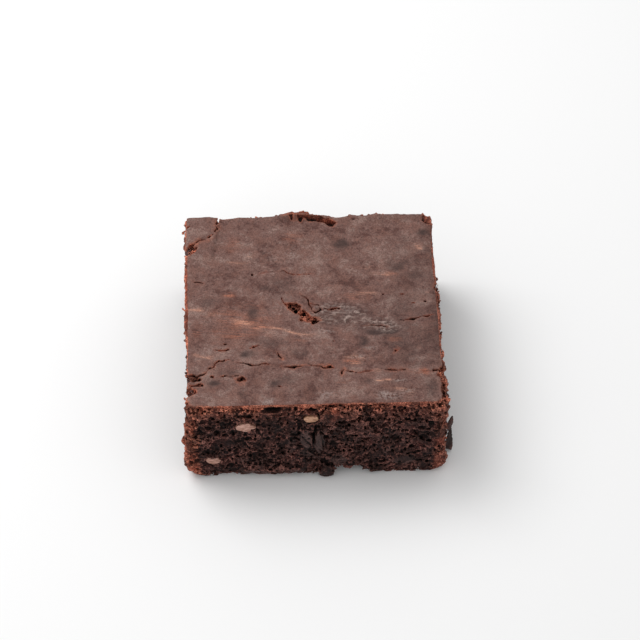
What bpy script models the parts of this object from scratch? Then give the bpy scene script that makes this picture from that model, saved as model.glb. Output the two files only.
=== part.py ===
"""A chocolate brownie: one square portion cut from a tray bake, with chopped nuts in its cut sides.

Units are metres, +Z up, and the origin is the middle of the flat underside. The side that shows
most nuts faces -Y. The crumb with its papery top crust is one solid, and each nut piece is its own.
"""

import math
import random
from collections import namedtuple

import bmesh
import bpy
from mathutils import Vector, noise

MM = 0.001

# The lists further down give their places and sizes in millimetres, from the middle of the portion.
# "along" runs to the right as one looks at a side, and "height" is measured from the underside.
Crack = namedtuple("Crack", "path width depth")
Tear = namedtuple("Tear", "outline depth")
Pocket = namedtuple("Pocket", "along height length thickness depth")
Nut = namedtuple("Nut", "side along height length thickness tilt")

# The portion as cut
SIDE = 70.2 * MM
HEIGHT = 29.0 * MM
HALF = SIDE / 2
FLARE = 0.9 * MM
TOP_CORNER_RADIUS = 1.0 * MM
FOOT_CORNER_RADIUS = 3.6 * MM
FOOT_CORNER_HEIGHT = 9.0 * MM
FOOT_ROUNDING = 2.0 * MM
FOOT_ROUNDING_START = -0.4 * MM
FOOT_ROUNDING_HEIGHT = 3.2 * MM

# How finely the faces are divided
TOP_DIVISIONS = 35
WALL_LEVELS = (0.0, 0.8, 2.2, 4.4, 6.8, 9.2, 11.6, 14.0, 16.4, 18.8, 21.2, 23.6, 26.0, 27.9)
PIECE_FINENESS = 3
CUTTER_FINENESS = 2

# The relief of the torn crumb, which is calmer at the foot and under the crust
CRAG_SCALE = 2.9 * MM
CRAG_HEIGHT = 1.0 * MM
PORE_SCALE = 4.4 * MM
PORE_DEPTH = 1.4 * MM
PORE_BOTTOM = 0.12
PORE_BRIM = 0.4
CALM_FOOT = 2.5 * MM
CALM_RIM = 3.5 * MM
RIM_RELIEF_SHARE = 0.2

# The relief of the crust
WAVE_SCALE = 19.0 * MM
WAVE_HEIGHT = 0.35 * MM
WAVE_SHIFT = Vector((3.1, 0.4, 0))
RIPPLE_SCALE = 5.0 * MM
RIPPLE_HEIGHT = 0.14 * MM
RIPPLE_SHIFT = Vector((0, 8.2, 1.7))
EDGE_DROP = 0.35 * MM
EDGE_DROP_WIDTH = 2.0 * MM

# The blister at the back edge, where the crust has lifted, and its flap that still stands there
BLISTER_CENTRE = -0.5 * MM
BLISTER_HALF_LENGTH = 10.0 * MM
BLISTER_FLAT_SHARE = 0.3
BLISTER_REACH = 6.0 * MM
BLISTER_RISE = 1.0 * MM
FLAP_HALF_LENGTH = 7.8 * MM
FLAP_STEPS = 14
FLAP_THICKNESS = 0.7 * MM
FLAP_RISE = 1.5 * MM
FLAP_ROOT = 1.8 * MM
FLAP_ROOT_REACH = 0.8 * MM
FLAP_OVERHANG = 0.45 * MM
FLAP_RAGGEDNESS = 0.5 * MM
FLAP_ROUNDNESS = 0.6

CRACKS = (
    Crack([(-38, 23.0), (-31.6, 25.6), (-28.2, 28.4), (-26.8, 32.0), (-26.3, 38)], 1.5, 5.5),
    Crack([(-22.5, -18.7), (-16.4, -20.1), (-9.2, -21.3), (-5.7, -22.1), (-2.8, -21.2)], 0.55, 1.3),
    Crack([(-0.6, -21.4), (5.5, -22.1), (9.0, -23.4), (15.3, -23.3)], 0.5, 1.1),
    Crack([(18.6, -23.4), (24.9, -23.4), (30.9, -24.1), (38, -23.7)], 0.6, 1.3),
    Crack([(14.9, -6.9), (19.9, -6.3), (26.9, -4.6), (33.4, -4.0)], 0.6, 1.3),
    Crack([(-24.0, -17.6), (-27.5, -19.5), (-31.3, -23.0), (-37, -24.2)], 0.8, 1.6),
)
CRACK_END_SHARE = 0.45
CRACK_UNEVENNESS = 0.25

# Where the crust is torn off: the middle, the crescent behind the flap, a front pit, the left edge
TEARS = (
    Tear([(-7.3, 1.5), (-4.6, 1.1), (-2.0, -1.9), (1.0, -4.8), (-1.6, -5.9), (-4.9, -3.6)], 1.7),
    Tear([(-6, 34.3), (-1.8, 34.1), (2.5, 33), (7.2, 32.4), (6.6, 34.4), (1, 35), (-4, 35.5)], 1.5),
    Tear([(-21.6, -25.6), (-19.6, -25.2), (-18.9, -26.4), (-20.8, -27.0)], 1.2),
    Tear([(-37, -24.8), (-32.6, -24.0), (-32.0, -25.2), (-37, -26.0)], 1.4),
    Tear([(-34.2, -27.0), (-31.4, -26.7), (-31.3, -27.8), (-34.0, -28.1)], 1.2),
    Tear([(-37, -29.2), (-32.0, -28.8), (-33.2, -30.3), (-37, -31.2)], 1.5),
)
TEAR_FLOOR_SHARE = 0.72
TEAR_FLOOR_UNEVENNESS = 0.35
TEAR_MIDDLE_SHARE = 1.15
CUTTER_HEADROOM = 2.5 * MM

FRONT_POCKETS = (
    Pocket(-11.9, 26.1, 4.4, 2.6, 3.4),
    Pocket(-0.9, 25.9, 3.0, 1.7, 2.4),
    Pocket(-25.5, 13.5, 6.0, 4.0, 2.0),
    Pocket(1.5, 15.0, 1.8, 5.6, 2.2),
    Pocket(5.5, 18.0, 4.0, 3.6, 2.0),
    Pocket(26.5, 24.0, 5.0, 1.8, 2.2),
)
POCKET_LUMPINESS = 0.3
# The other sides draw theirs between these smallest and largest values
PLAIN_SIDE_POCKETS = 6
PLAIN_PLACE = (0.35, 0.65)
PLAIN_HEIGHT = (6.0, 25.0)
PLAIN_LENGTH = (2.4, 5.0)
PLAIN_THICKNESS = (1.6, 3.4)
PLAIN_DEPTH = (1.6, 2.6)
POCKET_TO_NUT = 1.0

# The chip missing at the foot of the front, and the crumb lump stuck on to the left of it
CHIP = Pocket(8.4, 0.0, 7.0, 6.6, 4.6)
LUMP = Pocket(3.1, 3.1, 5.4, 4.8, 4.4)
LUMP_SINK = 0.9 * MM
LUMP_LUMPINESS = 0.25

NUTS = (
    Nut("front", -19.2, 19.9, 5.6, 3.3, -3),
    Nut("front", -1.3, 22.9, 4.2, 2.6, 6),
    Nut("front", -28.4, 6.5, 4.2, 2.8, -4),
    Nut("right", -14.0, 8.5, 4.6, 2.3, 12),
    Nut("right", 17.5, 19.0, 3.8, 2.4, -8),
    Nut("back", -20.0, 17.0, 4.4, 2.2, 5),
    Nut("back", 8.0, 7.0, 5.0, 2.6, -10),
    Nut("left", 12.0, 20.5, 4.2, 2.0, 4),
    Nut("left", -16.0, 10.0, 4.8, 2.5, -6),
)
NUT_DEPTH = 3.6 * MM
NUT_PROUD = 0.35 * MM
NUT_SINK = 0.5 * MM
NUT_GAP = 0.55 * MM
NUT_LUMPINESS = 0.12
NUT_WELD = 0.02 * MM

# How fast the noise on cutters and lumps changes, per metre or, on a ball, per radius
CRACK_NOISE = 400
TEAR_NOISE = 300
FLAP_NOISE = 500
BALL_NOISE = 1.7
BALL_NOISE_SHIFT = 900

# Each side's outward direction and the direction in which "along" is measured
UP = Vector((0, 0, 1))
SIDES = {
    "front": (Vector((0, -1, 0)), Vector((1, 0, 0))),
    "right": (Vector((1, 0, 0)), Vector((0, 1, 0))),
    "back": (Vector((0, 1, 0)), Vector((-1, 0, 0))),
    "left": (Vector((-1, 0, 0)), Vector((0, -1, 0))),
}

CRUMB_COLOUR = (0.045, 0.020, 0.014, 1)
CRUMB_ROUGHNESS = 0.85
NUT_COLOUR = (0.40, 0.25, 0.18, 1)
NUT_ROUGHNESS = 0.6
SEED = 7


def smooth_step(value, low, high):
    """0 below low, 1 above high, and an even S between them."""
    share = min(1.0, max(0.0, (value - low) / (high - low)))
    return share * share * (3 - 2 * share)


def food_material(name, colour, roughness):
    material = bpy.data.materials.new(name)
    material.use_nodes = True
    shader = material.node_tree.nodes["Principled BSDF"]
    shader.inputs["Base Color"].default_value = colour
    shader.inputs["Roughness"].default_value = roughness
    shader.inputs["Metallic"].default_value = 0.0
    return material


def object_from(name, build, collection):
    """Turns a bmesh into an object of that collection."""
    mesh = bpy.data.meshes.new(name)
    build.to_mesh(mesh)
    build.free()
    made = bpy.data.objects.new(name, mesh)
    collection.objects.link(made)
    return made


def helper_collection(name):
    """A collection for shapes that only cut or join. They aren't pieces of the brownie."""
    made = bpy.data.collections.new(name)
    bpy.context.scene.collection.children.link(made)
    return made


def mark_as_helper(obj):
    obj.hide_render = True
    obj.display_type = "WIRE"


def helper_from(name, build, collection):
    """Turns a bmesh into a helper whose faces all point out."""
    bmesh.ops.recalc_face_normals(build, faces=build.faces)
    mark_as_helper(object_from(name, build, collection))


def half_width(height):
    """The wall stands a little wider towards the foot, and rounds in under it."""
    lean = FLARE * (1 - height / HEIGHT)
    rise = smooth_step(height, FOOT_ROUNDING_START, FOOT_ROUNDING_HEIGHT)
    return HALF + lean - FOOT_ROUNDING * (1 - math.sqrt(rise))


def corner_radius(height):
    """Sharp where the knife went through the crust, and round at the foot."""
    foot = 1 - smooth_step(height, 0, FOOT_CORNER_HEIGHT)
    return TOP_CORNER_RADIUS + (FOOT_CORNER_RADIUS - TOP_CORNER_RADIUS) * foot


def rounded(x, y, half, radius):
    """A point of the square outline moved onto its rounded corner."""
    inner = half - radius
    core = Vector((min(inner, max(-inner, x)), min(inner, max(-inner, y))))
    away = Vector((x, y)) - core
    return core + away.normalized() * radius if away.length > 0 else Vector((x, y))


def crust_height(x, y):
    """The top crust: long waves, fine ripples, a soft edge and the lifted blister at the back."""
    place = Vector((x, y, 0))
    waves = WAVE_HEIGHT * noise.noise(place / WAVE_SCALE + WAVE_SHIFT)
    ripples = RIPPLE_HEIGHT * noise.noise(place / RIPPLE_SCALE + RIPPLE_SHIFT)
    from_edge = HALF - max(abs(x), abs(y))
    drop = EDGE_DROP * (1 - smooth_step(from_edge, 0, EDGE_DROP_WIDTH))
    flat_part = BLISTER_FLAT_SHARE * BLISTER_HALF_LENGTH
    across = 1 - smooth_step(abs(x - BLISTER_CENTRE), flat_part, BLISTER_HALF_LENGTH)
    rise = BLISTER_RISE * across * smooth_step(y, HALF - BLISTER_REACH, HALF)
    return HEIGHT + waves + ripples - drop + rise


def crag(place):
    """How far the torn crumb stands out here: coarse lumps, with round pores eaten into them."""
    lumps = CRAG_HEIGHT * noise.noise(place / CRAG_SCALE)
    nearest = noise.voronoi(place / PORE_SCALE)[0][0]
    pores = PORE_DEPTH * (1 - smooth_step(nearest, PORE_BOTTOM, PORE_BRIM))
    return lumps - pores


def wall_point(x, y, height):
    """A point of the wall. x and y lie on a square outline of half width HALF."""
    half = half_width(height)
    flat = rounded(x * half / HALF, y * half / HALF, half, corner_radius(height))
    on_edge = HALF * (1 - 1e-6)
    outward = Vector((x if abs(x) > on_edge else 0, y if abs(y) > on_edge else 0)).normalized()
    foot = smooth_step(height, 0, CALM_FOOT)
    rim = 1 - (1 - RIM_RELIEF_SHARE) * smooth_step(height, HEIGHT - CALM_RIM, HEIGHT)
    relief = crag(Vector((*flat, height))) * foot * rim
    return Vector((*(flat + outward * relief), height))


def outline_square():
    """The grid points round the edge of the top, in order, as column and row numbers."""
    last = TOP_DIVISIONS
    front = [(i, 0) for i in range(last)]
    right = [(last, j) for j in range(last)]
    back = [(last - i, last) for i in range(last)]
    left = [(0, last - j) for j in range(last)]
    return front + right + back + left


def grid_place(number):
    return -HALF + SIDE * number / TOP_DIVISIONS


def join_rings(build, rings):
    """Bridges each ring of points to the next, all of them closed loops of the same length."""
    for lower, upper in zip(rings, rings[1:]):
        for k in range(len(lower)):
            following = (k + 1) % len(lower)
            build.faces.new((lower[k], lower[following], upper[following], upper[k]))


def crust_grid(build, edge):
    """The points of the crust by column and row. Its corner points lie on the rounded corners."""
    points = {}
    for i in range(TOP_DIVISIONS + 1):
        for j in range(TOP_DIVISIONS + 1):
            x, y = grid_place(i), grid_place(j)
            if (i, j) in edge:
                x, y = rounded(x, y, HALF, TOP_CORNER_RADIUS)
            points[i, j] = build.verts.new((x, y, crust_height(x, y)))
    return points


def build_crumb_block(collection):
    """The block: rings of wall points from the foot up, closed by the crust and a flat underside."""
    build = bmesh.new()
    edge = outline_square()
    rings = []
    for level in WALL_LEVELS:
        ring = [wall_point(grid_place(i), grid_place(j), level * MM) for i, j in edge]
        rings.append([build.verts.new(point) for point in ring])
    top = crust_grid(build, set(edge))
    rings.append([top[place] for place in edge])
    join_rings(build, rings)
    for i in range(TOP_DIVISIONS):
        for j in range(TOP_DIVISIONS):
            build.faces.new((top[i, j], top[i + 1, j], top[i + 1, j + 1], top[i, j + 1]))
    bmesh.ops.triangulate(build, faces=build.faces[:])
    build.faces.new(list(reversed(rings[0])))
    return object_from("crumb", build, collection)


def build_crack_cutter(name, crack, collection):
    """A wedge along the crack: wide above the crust, and a sharp line at its depth."""
    points = [Vector((x * MM, y * MM, 0)) for x, y in crack.path]
    deep = crack.depth * MM
    half_open = crack.width * MM / 2 * (CUTTER_HEADROOM + deep) / deep
    build = bmesh.new()
    sections = []
    for n, point in enumerate(points):
        ahead = points[min(n + 1, len(points) - 1)] - points[max(n - 1, 0)]
        sideways = Vector((-ahead.y, ahead.x, 0)).normalized()
        at_end = n in (0, len(points) - 1)
        uneven = 1 + CRACK_UNEVENNESS * noise.noise(point * CRACK_NOISE)
        spread = sideways * half_open * (CRACK_END_SHARE if at_end else uneven)
        level = crust_height(point.x, point.y)
        upper = point + UP * (level + CUTTER_HEADROOM)
        lower = point + UP * (level - deep)
        sections.append([build.verts.new(p) for p in (upper + spread, lower, upper - spread)])
    join_rings(build, sections)
    build.faces.new(sections[0])
    build.faces.new(sections[-1])
    helper_from(name, build, collection)


def build_tear_cutter(name, tear, collection):
    """A shallow bowl with the torn outline: full size above the crust, smaller at its uneven floor."""
    points = [Vector((x * MM, y * MM, 0)) for x, y in tear.outline]
    deep = tear.depth * MM
    middle = sum(points, Vector()) / len(points)
    level = crust_height(middle.x, middle.y)
    build = bmesh.new()
    upper = [build.verts.new(point + UP * (level + CUTTER_HEADROOM)) for point in points]
    lower = []
    for point in points:
        inward = middle + (point - middle) * TEAR_FLOOR_SHARE
        dip = deep * (1 + TEAR_FLOOR_UNEVENNESS * noise.noise(point * TEAR_NOISE))
        lower.append(build.verts.new(inward + UP * (level - dip)))
    join_rings(build, [lower, upper])
    build.faces.new(upper)
    deepest = build.verts.new(middle + UP * (level - TEAR_MIDDLE_SHARE * deep))
    for k in range(len(points)):
        build.faces.new((lower[k], deepest, lower[(k + 1) % len(points)]))
    helper_from(name, build, collection)


def lumpy_ball(name, centre, axes, radii, lumpiness, fineness, collection):
    """A ball of three radii along three axes, pushed in and out by noise."""
    build = bmesh.new()
    bmesh.ops.create_icosphere(build, subdivisions=fineness, radius=1.0)
    for vert in build.verts:
        unit = vert.co.copy()
        swell = 1 + lumpiness * noise.noise(unit * BALL_NOISE + centre * BALL_NOISE_SHIFT)
        offset = Vector()
        for axis, radius, share in zip(axes, radii, unit):
            offset += axis * radius * share * swell
        vert.co = centre + offset
    return object_from(name, build, collection)


def on_wall(side, along, height, sink=0.0):
    """A place on the mean face of a side, sunk in by that much, with the face's own three axes."""
    outward, right = SIDES[side]
    face = outward * (half_width(height * MM) - sink)
    return face + right * along * MM + UP * height * MM, (right, UP, outward)


def build_air_pocket(name, side, pocket, collection):
    """A lumpy ball that cuts one hollow into a side."""
    place, axes = on_wall(side, pocket.along, pocket.height)
    radii = (pocket.length * MM / 2, pocket.thickness * MM / 2, pocket.depth * MM)
    ball = lumpy_ball(name, place, axes, radii, POCKET_LUMPINESS, CUTTER_FINENESS, collection)
    mark_as_helper(ball)


def clear_of_nuts(side, pocket):
    """True if a pocket lies well away from every nut piece of that side."""
    for nut in NUTS:
        reach_along = (pocket.length + nut.length) / 2 + POCKET_TO_NUT
        reach_up = (pocket.thickness + nut.thickness) / 2 + POCKET_TO_NUT
        near_along = abs(pocket.along - nut.along) <= reach_along
        near_up = abs(pocket.height - nut.height) <= reach_up
        if nut.side == side and near_along and near_up:
            return False
    return True


def plain_side_pockets(side, draw):
    """The pockets of a side that the front's own list doesn't cover, spread by a seeded draw."""
    step = SIDE / MM / PLAIN_SIDE_POCKETS
    for n in range(PLAIN_SIDE_POCKETS):
        along = -HALF / MM + step * (n + draw.uniform(*PLAIN_PLACE))
        ranges = (PLAIN_HEIGHT, PLAIN_LENGTH, PLAIN_THICKNESS, PLAIN_DEPTH)
        pocket = Pocket(along, *(draw.uniform(*limits) for limits in ranges))
        if clear_of_nuts(side, pocket):
            yield pocket


def build_flap(collection):
    """The thin crust flap that still stands at the back edge, behind the crescent tear."""
    build = bmesh.new()
    sections = []
    foot = HEIGHT - FLAP_ROOT
    for n in range(FLAP_STEPS + 1):
        share = n / FLAP_STEPS
        x = BLISTER_CENTRE + FLAP_HALF_LENGTH * (2 * share - 1)
        arch = math.sin(math.pi * share) ** FLAP_ROUNDNESS
        ragged = FLAP_RAGGEDNESS * noise.noise(Vector((x * FLAP_NOISE, 0, 0)))
        crest = foot + FLAP_ROOT / 2 + (FLAP_ROOT / 2 + FLAP_RISE + ragged) * arch
        outer = HALF + FLAP_OVERHANG * arch
        inner = outer - FLAP_THICKNESS
        corners = (
            (x, HALF, foot),
            (x, outer, crest),
            (x, inner, crest - FLAP_THICKNESS / 4),
            (x, HALF - FLAP_ROOT_REACH - FLAP_THICKNESS, foot),
        )
        sections.append([build.verts.new(corner) for corner in corners])
    join_rings(build, sections)
    build.faces.new(sections[0])
    build.faces.new(sections[-1])
    helper_from("flap", build, collection)


def build_joined_lumps(collection):
    """What stands out from the block: the stuck-on crumb lump of the front and the back's flap."""
    place, axes = on_wall("front", LUMP.along, LUMP.height, LUMP_SINK)
    radii = (LUMP.length * MM / 2, LUMP.thickness * MM / 2, LUMP.depth * MM / 2)
    ball = lumpy_ball("lump", place, axes, radii, LUMP_LUMPINESS, CUTTER_FINENESS, collection)
    mark_as_helper(ball)
    build_flap(collection)


def nut_ball(name, nut, grow, fineness, collection):
    """The blunt ball of a nut piece, larger all round by grow."""
    place, (right, up, outward) = on_wall(nut.side, nut.along, nut.height, NUT_SINK)
    turn = math.radians(nut.tilt)
    length_axis = right * math.cos(turn) + up * math.sin(turn)
    thickness_axis = up * math.cos(turn) - right * math.sin(turn)
    radii = (nut.length * MM / 2 + grow, nut.thickness * MM / 2 + grow, NUT_DEPTH / 2 + grow)
    axes = (length_axis, thickness_axis, outward)
    return lumpy_ball(name, place, axes, radii, NUT_LUMPINESS, fineness, collection)


def build_nut(name, nut, collection):
    """A chopped nut piece: a blunt ball that the knife sliced flat, just proud of the cut side."""
    made = nut_ball(name, nut, 0.0, PIECE_FINENESS, collection)
    place, (_, _, outward) = on_wall(nut.side, nut.along, nut.height, -NUT_PROUD)
    build = bmesh.new()
    build.from_mesh(made.data)
    sliced = bmesh.ops.bisect_plane(
        build,
        geom=build.verts[:] + build.edges[:] + build.faces[:],
        plane_co=place,
        plane_no=outward,
        clear_outer=True,
    )
    rim = [part for part in sliced["geom_cut"] if isinstance(part, bmesh.types.BMEdge)]
    bmesh.ops.contextual_create(build, geom=rim)
    bmesh.ops.remove_doubles(build, verts=build.verts, dist=NUT_WELD)
    bmesh.ops.recalc_face_normals(build, faces=build.faces)
    build.to_mesh(made.data)
    build.free()
    made.data.shade_smooth()
    return made


def build_cutters(collection):
    """All that is missing from the block: cracks, tears, air pockets, the chip and the nuts' beds."""
    draw = random.Random(SEED)
    for n, crack in enumerate(CRACKS):
        build_crack_cutter(f"crack_{n}", crack, collection)
    for n, tear in enumerate(TEARS):
        build_tear_cutter(f"tear_{n}", tear, collection)
    for n, pocket in enumerate(FRONT_POCKETS):
        build_air_pocket(f"front_pocket_{n}", "front", pocket, collection)
    for side in ("right", "back", "left"):
        for n, pocket in enumerate(plain_side_pockets(side, draw)):
            build_air_pocket(f"{side}_pocket_{n}", side, pocket, collection)
    build_air_pocket("chip", "front", CHIP, collection)
    for n, nut in enumerate(NUTS):
        mark_as_helper(nut_ball(f"bed_{n}", nut, NUT_GAP, CUTTER_FINENESS, collection))


def add_boolean(obj, operation, collection):
    modifier = obj.modifiers.new(operation.title(), "BOOLEAN")
    modifier.operation = operation
    modifier.operand_type = "COLLECTION"
    modifier.collection = collection
    modifier.solver = "EXACT"


def main():
    for leftover in list(bpy.data.objects):
        bpy.data.objects.remove(leftover)
    scene_collection = bpy.context.scene.collection
    lumps = helper_collection("joined_lumps")
    cutters = helper_collection("cutters")
    build_joined_lumps(lumps)
    build_cutters(cutters)

    crumb = build_crumb_block(scene_collection)
    crumb.data.materials.append(food_material("chocolate_crumb", CRUMB_COLOUR, CRUMB_ROUGHNESS))
    add_boolean(crumb, "UNION", lumps)
    add_boolean(crumb, "DIFFERENCE", cutters)

    nut_flesh = food_material("nut_flesh", NUT_COLOUR, NUT_ROUGHNESS)
    counts = dict.fromkeys(SIDES, 0)
    for nut in NUTS:
        counts[nut.side] += 1
        piece = build_nut(f"nut_{nut.side}_{counts[nut.side]}", nut, scene_collection)
        piece.data.materials.append(nut_flesh)


main()
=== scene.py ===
"""The looks of a square cut chocolate brownie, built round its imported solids.

The whole surface is one field of distances on a fine lattice: the block, less its air pores, cracks
and tears, with the papery crust on top. Each piece takes its own share of that surface, so the pieces
meet edge to edge. Inside the classes lengths are millimetres, and the meshes get metres.
"""

import logging
import math
from collections.abc import Callable
from dataclasses import dataclass, field
from enum import Enum
from typing import Any

import bmesh
import bpy
import numpy as np
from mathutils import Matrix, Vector, noise


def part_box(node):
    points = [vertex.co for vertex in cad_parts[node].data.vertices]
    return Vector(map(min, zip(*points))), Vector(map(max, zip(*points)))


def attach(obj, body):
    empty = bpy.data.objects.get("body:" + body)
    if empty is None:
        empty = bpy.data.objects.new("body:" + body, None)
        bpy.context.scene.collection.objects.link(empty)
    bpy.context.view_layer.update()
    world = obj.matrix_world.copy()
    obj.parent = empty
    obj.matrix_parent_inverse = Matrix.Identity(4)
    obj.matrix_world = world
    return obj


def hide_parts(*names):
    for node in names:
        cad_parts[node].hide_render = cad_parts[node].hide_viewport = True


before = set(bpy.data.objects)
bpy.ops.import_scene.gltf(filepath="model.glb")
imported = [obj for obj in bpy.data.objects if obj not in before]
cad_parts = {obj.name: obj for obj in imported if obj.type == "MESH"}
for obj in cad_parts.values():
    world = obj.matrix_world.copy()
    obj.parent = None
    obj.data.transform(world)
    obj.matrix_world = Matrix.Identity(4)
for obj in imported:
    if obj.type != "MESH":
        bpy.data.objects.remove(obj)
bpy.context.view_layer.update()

Array = np.ndarray
Point = tuple[float, float]
Span = tuple[float, float]
Triple = tuple[float, float, float]
Colour = tuple[float, float, float, float]
Socket = bpy.types.NodeSocket

MM = 0.001

# The lattice: its spacing, how far it reaches along X and Y, and its lowest and highest level.
PITCH = 0.25
REACH = (38.5, 38.5)
FLOOR_LEVEL = -1.0
CEILING_LEVEL = 33.0

CRUMB_VALUES = ("rim", "pore", "hollow", "fudge")

log = logging.getLogger("brownie")


class Face(Enum):
    """A face of the block, and the direction in which it looks."""

    FRONT = (0, -1, 0)
    RIGHT = (1, 0, 0)
    BACK = (0, 1, 0)
    LEFT = (-1, 0, 0)
    TOP = (0, 0, 1)
    UNDER = (0, 0, -1)

    @property
    def axis(self) -> int:
        """The number of the axis along which the face looks."""
        return next(k for k, part in enumerate(self.value) if part)

    @property
    def sign(self) -> int:
        """1 if the face looks along its axis, and -1 if against it."""
        return self.value[self.axis]

    @property
    def right(self) -> Array:
        """The direction to the right, seen by someone who looks at the face."""
        return np.cross((0, 0, 1), self.value).astype(float)


WALLS = (Face.FRONT, Face.RIGHT, Face.BACK, Face.LEFT)


def smooth_step(value: Array, low: float, high: float) -> Array:
    """An even S from 0 to 1.

    Args:
        value: Where to take it.
        low: The value at which it leaves 0.
        high: The value at which it reaches 1.

    Returns:
        The S at each value.
    """
    share = np.clip((value - low) / (high - low), 0.0, 1.0)
    return share * share * (3 - 2 * share)


def linear(red: float, green: float, blue: float) -> Colour:
    """A colour as Blender takes it.

    Args:
        red: Screen red from 0 to 255, as read off a picture, and likewise green and blue.
        green: Screen green.
        blue: Screen blue.

    Returns:
        The linear colour with a full alpha.
    """
    parts = [value / 255 for value in (red, green, blue)]
    return (*(p / 12.92 if p <= 0.04045 else ((p + 0.055) / 1.055) ** 2.4 for p in parts), 1.0)


@dataclass(frozen=True)
class Box:
    """A box of lattice points, by the number of its first and last point along each axis."""

    first: tuple[int, int, int]
    last: tuple[int, int, int]

    @classmethod
    def around(cls, low: Triple, high: Triple) -> "Box":
        """The lattice points between two corners.

        Args:
            low: The lowest corner.
            high: The highest corner.

        Returns:
            The box of those points.
        """
        return cls(
            tuple(math.ceil(part / PITCH) for part in low),
            tuple(math.floor(part / PITCH) for part in high),
        )

    def places(self, axis: int) -> Array:
        """The places of the points along one axis."""
        return np.arange(self.first[axis], self.last[axis] + 1) * PITCH

    def grid(self) -> tuple[Array, Array, Array]:
        """The places along the three axes, shaped so that they spread out over the box."""
        x, y, z = (self.places(axis).astype(np.float32) for axis in range(3))
        return x[:, None, None], y[None, :, None], z[None, None, :]


@dataclass(frozen=True)
class SoftNoise:
    """A smooth random field: white noise on its own knots, blended by cubic B-splines.

    Its values spread about as widely as those of a unit normal.
    """

    size: Triple
    seed: int

    SPREAD = 0.692**3

    def blend(self, places: Array, axis: int) -> tuple[Array, int, int]:
        """How much each knot counts at each place along one axis.

        Args:
            places: The places.
            axis: The number of the axis.

        Returns:
            The weights, a row for each place and a column for each knot used, the number of the
            first knot used, and how many knots the whole axis has.
        """
        low, high = self.span(axis)
        at = (np.asarray(places, float) - low) / self.size[axis] + 1
        base = np.floor(at).astype(int)
        t = at - base
        shares = np.stack([(1 - t) ** 3, 3 * t**3 - 6 * t**2 + 4, 3 * (t + t**2 - t**3) + 1, t**3], 1) / 6
        start = int(base.min()) - 1
        weights = np.zeros((len(places), int(base.max()) + 3 - start), np.float32)
        columns = base[:, None] - 1 - start + np.arange(4)
        weights[np.arange(len(places))[:, None], columns] = shares
        return weights, start, math.ceil((high - low) / self.size[axis]) + 4

    @staticmethod
    def span(axis: int) -> tuple[float, float]:
        """The lowest and highest place along one axis."""
        return (FLOOR_LEVEL, CEILING_LEVEL) if axis == 2 else (-REACH[axis], REACH[axis])

    def on(self, x: Array, y: Array, z: Array) -> Array:
        """The field on the grid that three rows of places span.

        Args:
            x: The places along X.
            y: The places along Y.
            z: The places along Z.

        Returns:
            The values, with one axis for each row of places.
        """
        blends = [self.blend(places, axis) for axis, places in enumerate((x, y, z))]
        knots = np.random.default_rng(self.seed).standard_normal([b[2] for b in blends], np.float32)
        used = tuple(slice(start, start + weights.shape[1]) for weights, start, _ in blends)
        made = knots[used]
        for weights, _, _ in blends:
            made = np.tensordot(made, weights, axes=(0, 1))
        return made / self.SPREAD


@dataclass(frozen=True)
class BlockForm:
    """The bare block as the knife left it: a square with a flared wall and a rounded foot."""

    half: float = 35.1
    height: float = 29.0
    flare: float = 0.9
    top_corner: float = 1.5
    foot_corner: float = 3.6
    foot_corner_height: float = 9.0
    foot_rounding: float = 1.5
    foot_height: float = 3.2
    front_foot: float = 0.6
    left_tuck: float = 0.9
    tuck_across: Span = (25, 33)
    tuck_from_front: Span = (-35, -28)
    tuck_from_back: Span = (-35, -29)
    tuck_fade: Span = (26.5, 28.6)

    def half_width(self, z: Array) -> Array:
        """How far the wall stands from the middle at each height."""
        tuck = 1 - np.sqrt(smooth_step(z, -0.4, self.foot_height))
        return self.half + self.flare * (1 - z / self.height) - self.foot_rounding * tuck

    def reach(self, face: Face, z: Array) -> Array:
        """How far the wall of one face stands from the middle at each height."""
        more = self.front_foot * (1 - z / self.height) if face is Face.FRONT else 0.0
        return self.half_width(z) + more

    def tuck(self, x: Array, y: Array, z: Array) -> Array:
        """How far the left side stands in below the crust, between its corners."""
        between = smooth_step(y, *self.tuck_from_front) * smooth_step(-y, *self.tuck_from_back)
        across = self.left_tuck * smooth_step(-x, *self.tuck_across)
        return across * between * (1 - smooth_step(z, *self.tuck_fade))

    def surface(self, face: Face, along: Array, height: Array) -> Array:
        """The points of one side, one a row, at places along it and their heights."""
        points = np.outer(self.reach(face, height), face.value) + np.outer(along, face.right)
        points[:, 2] = height
        return points - np.outer(self.tuck(*points.T), face.value)

    def wall_distance(self, x: Array, y: Array, z: Array) -> Array:
        """How far places lie outside the walls.

        Args:
            x: X of the places, and likewise y and z. They may be of any shapes that spread together.
            y: Y of the places.
            z: Z of the places.

        Returns:
            The distance to the wall, less than 0 inside the block.
        """
        foot = 1 - smooth_step(z, 0, self.foot_corner_height)
        forward = self.front_foot * (1 - z / self.height) * smooth_step(-y, 0, self.half)
        radius = self.top_corner + (self.foot_corner - self.top_corner) * foot
        inner = self.half_width(z) - radius
        across, along = np.abs(x) - inner, np.abs(y + forward) - inner
        outside = np.sqrt(np.maximum(across, 0) ** 2 + np.maximum(along, 0) ** 2)
        return outside + np.minimum(np.maximum(across, along), 0) - radius + self.tuck(x, y, z)


@dataclass(frozen=True)
class Crack:
    """A crack in the crust: its path, its width and depth, how torn its rims are, and how uneven it is."""

    path: tuple[Point, ...]
    width: float
    depth: float
    torn: float = 0.3
    gap: float = 0.4


@dataclass(frozen=True)
class Tear:
    """A place where the crust is torn off: its outline, how deep the crumb lies there, and how much painted
    shade darkens it.
    """

    outline: tuple[Point, ...]
    depth: float
    shade: float = 0.0


@dataclass(frozen=True)
class Spot:
    """A soft round mark on the crust: its middle, its reach along X and Y, and its strength."""

    x: float
    y: float
    reach_x: float
    reach_y: float
    strength: float


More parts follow.
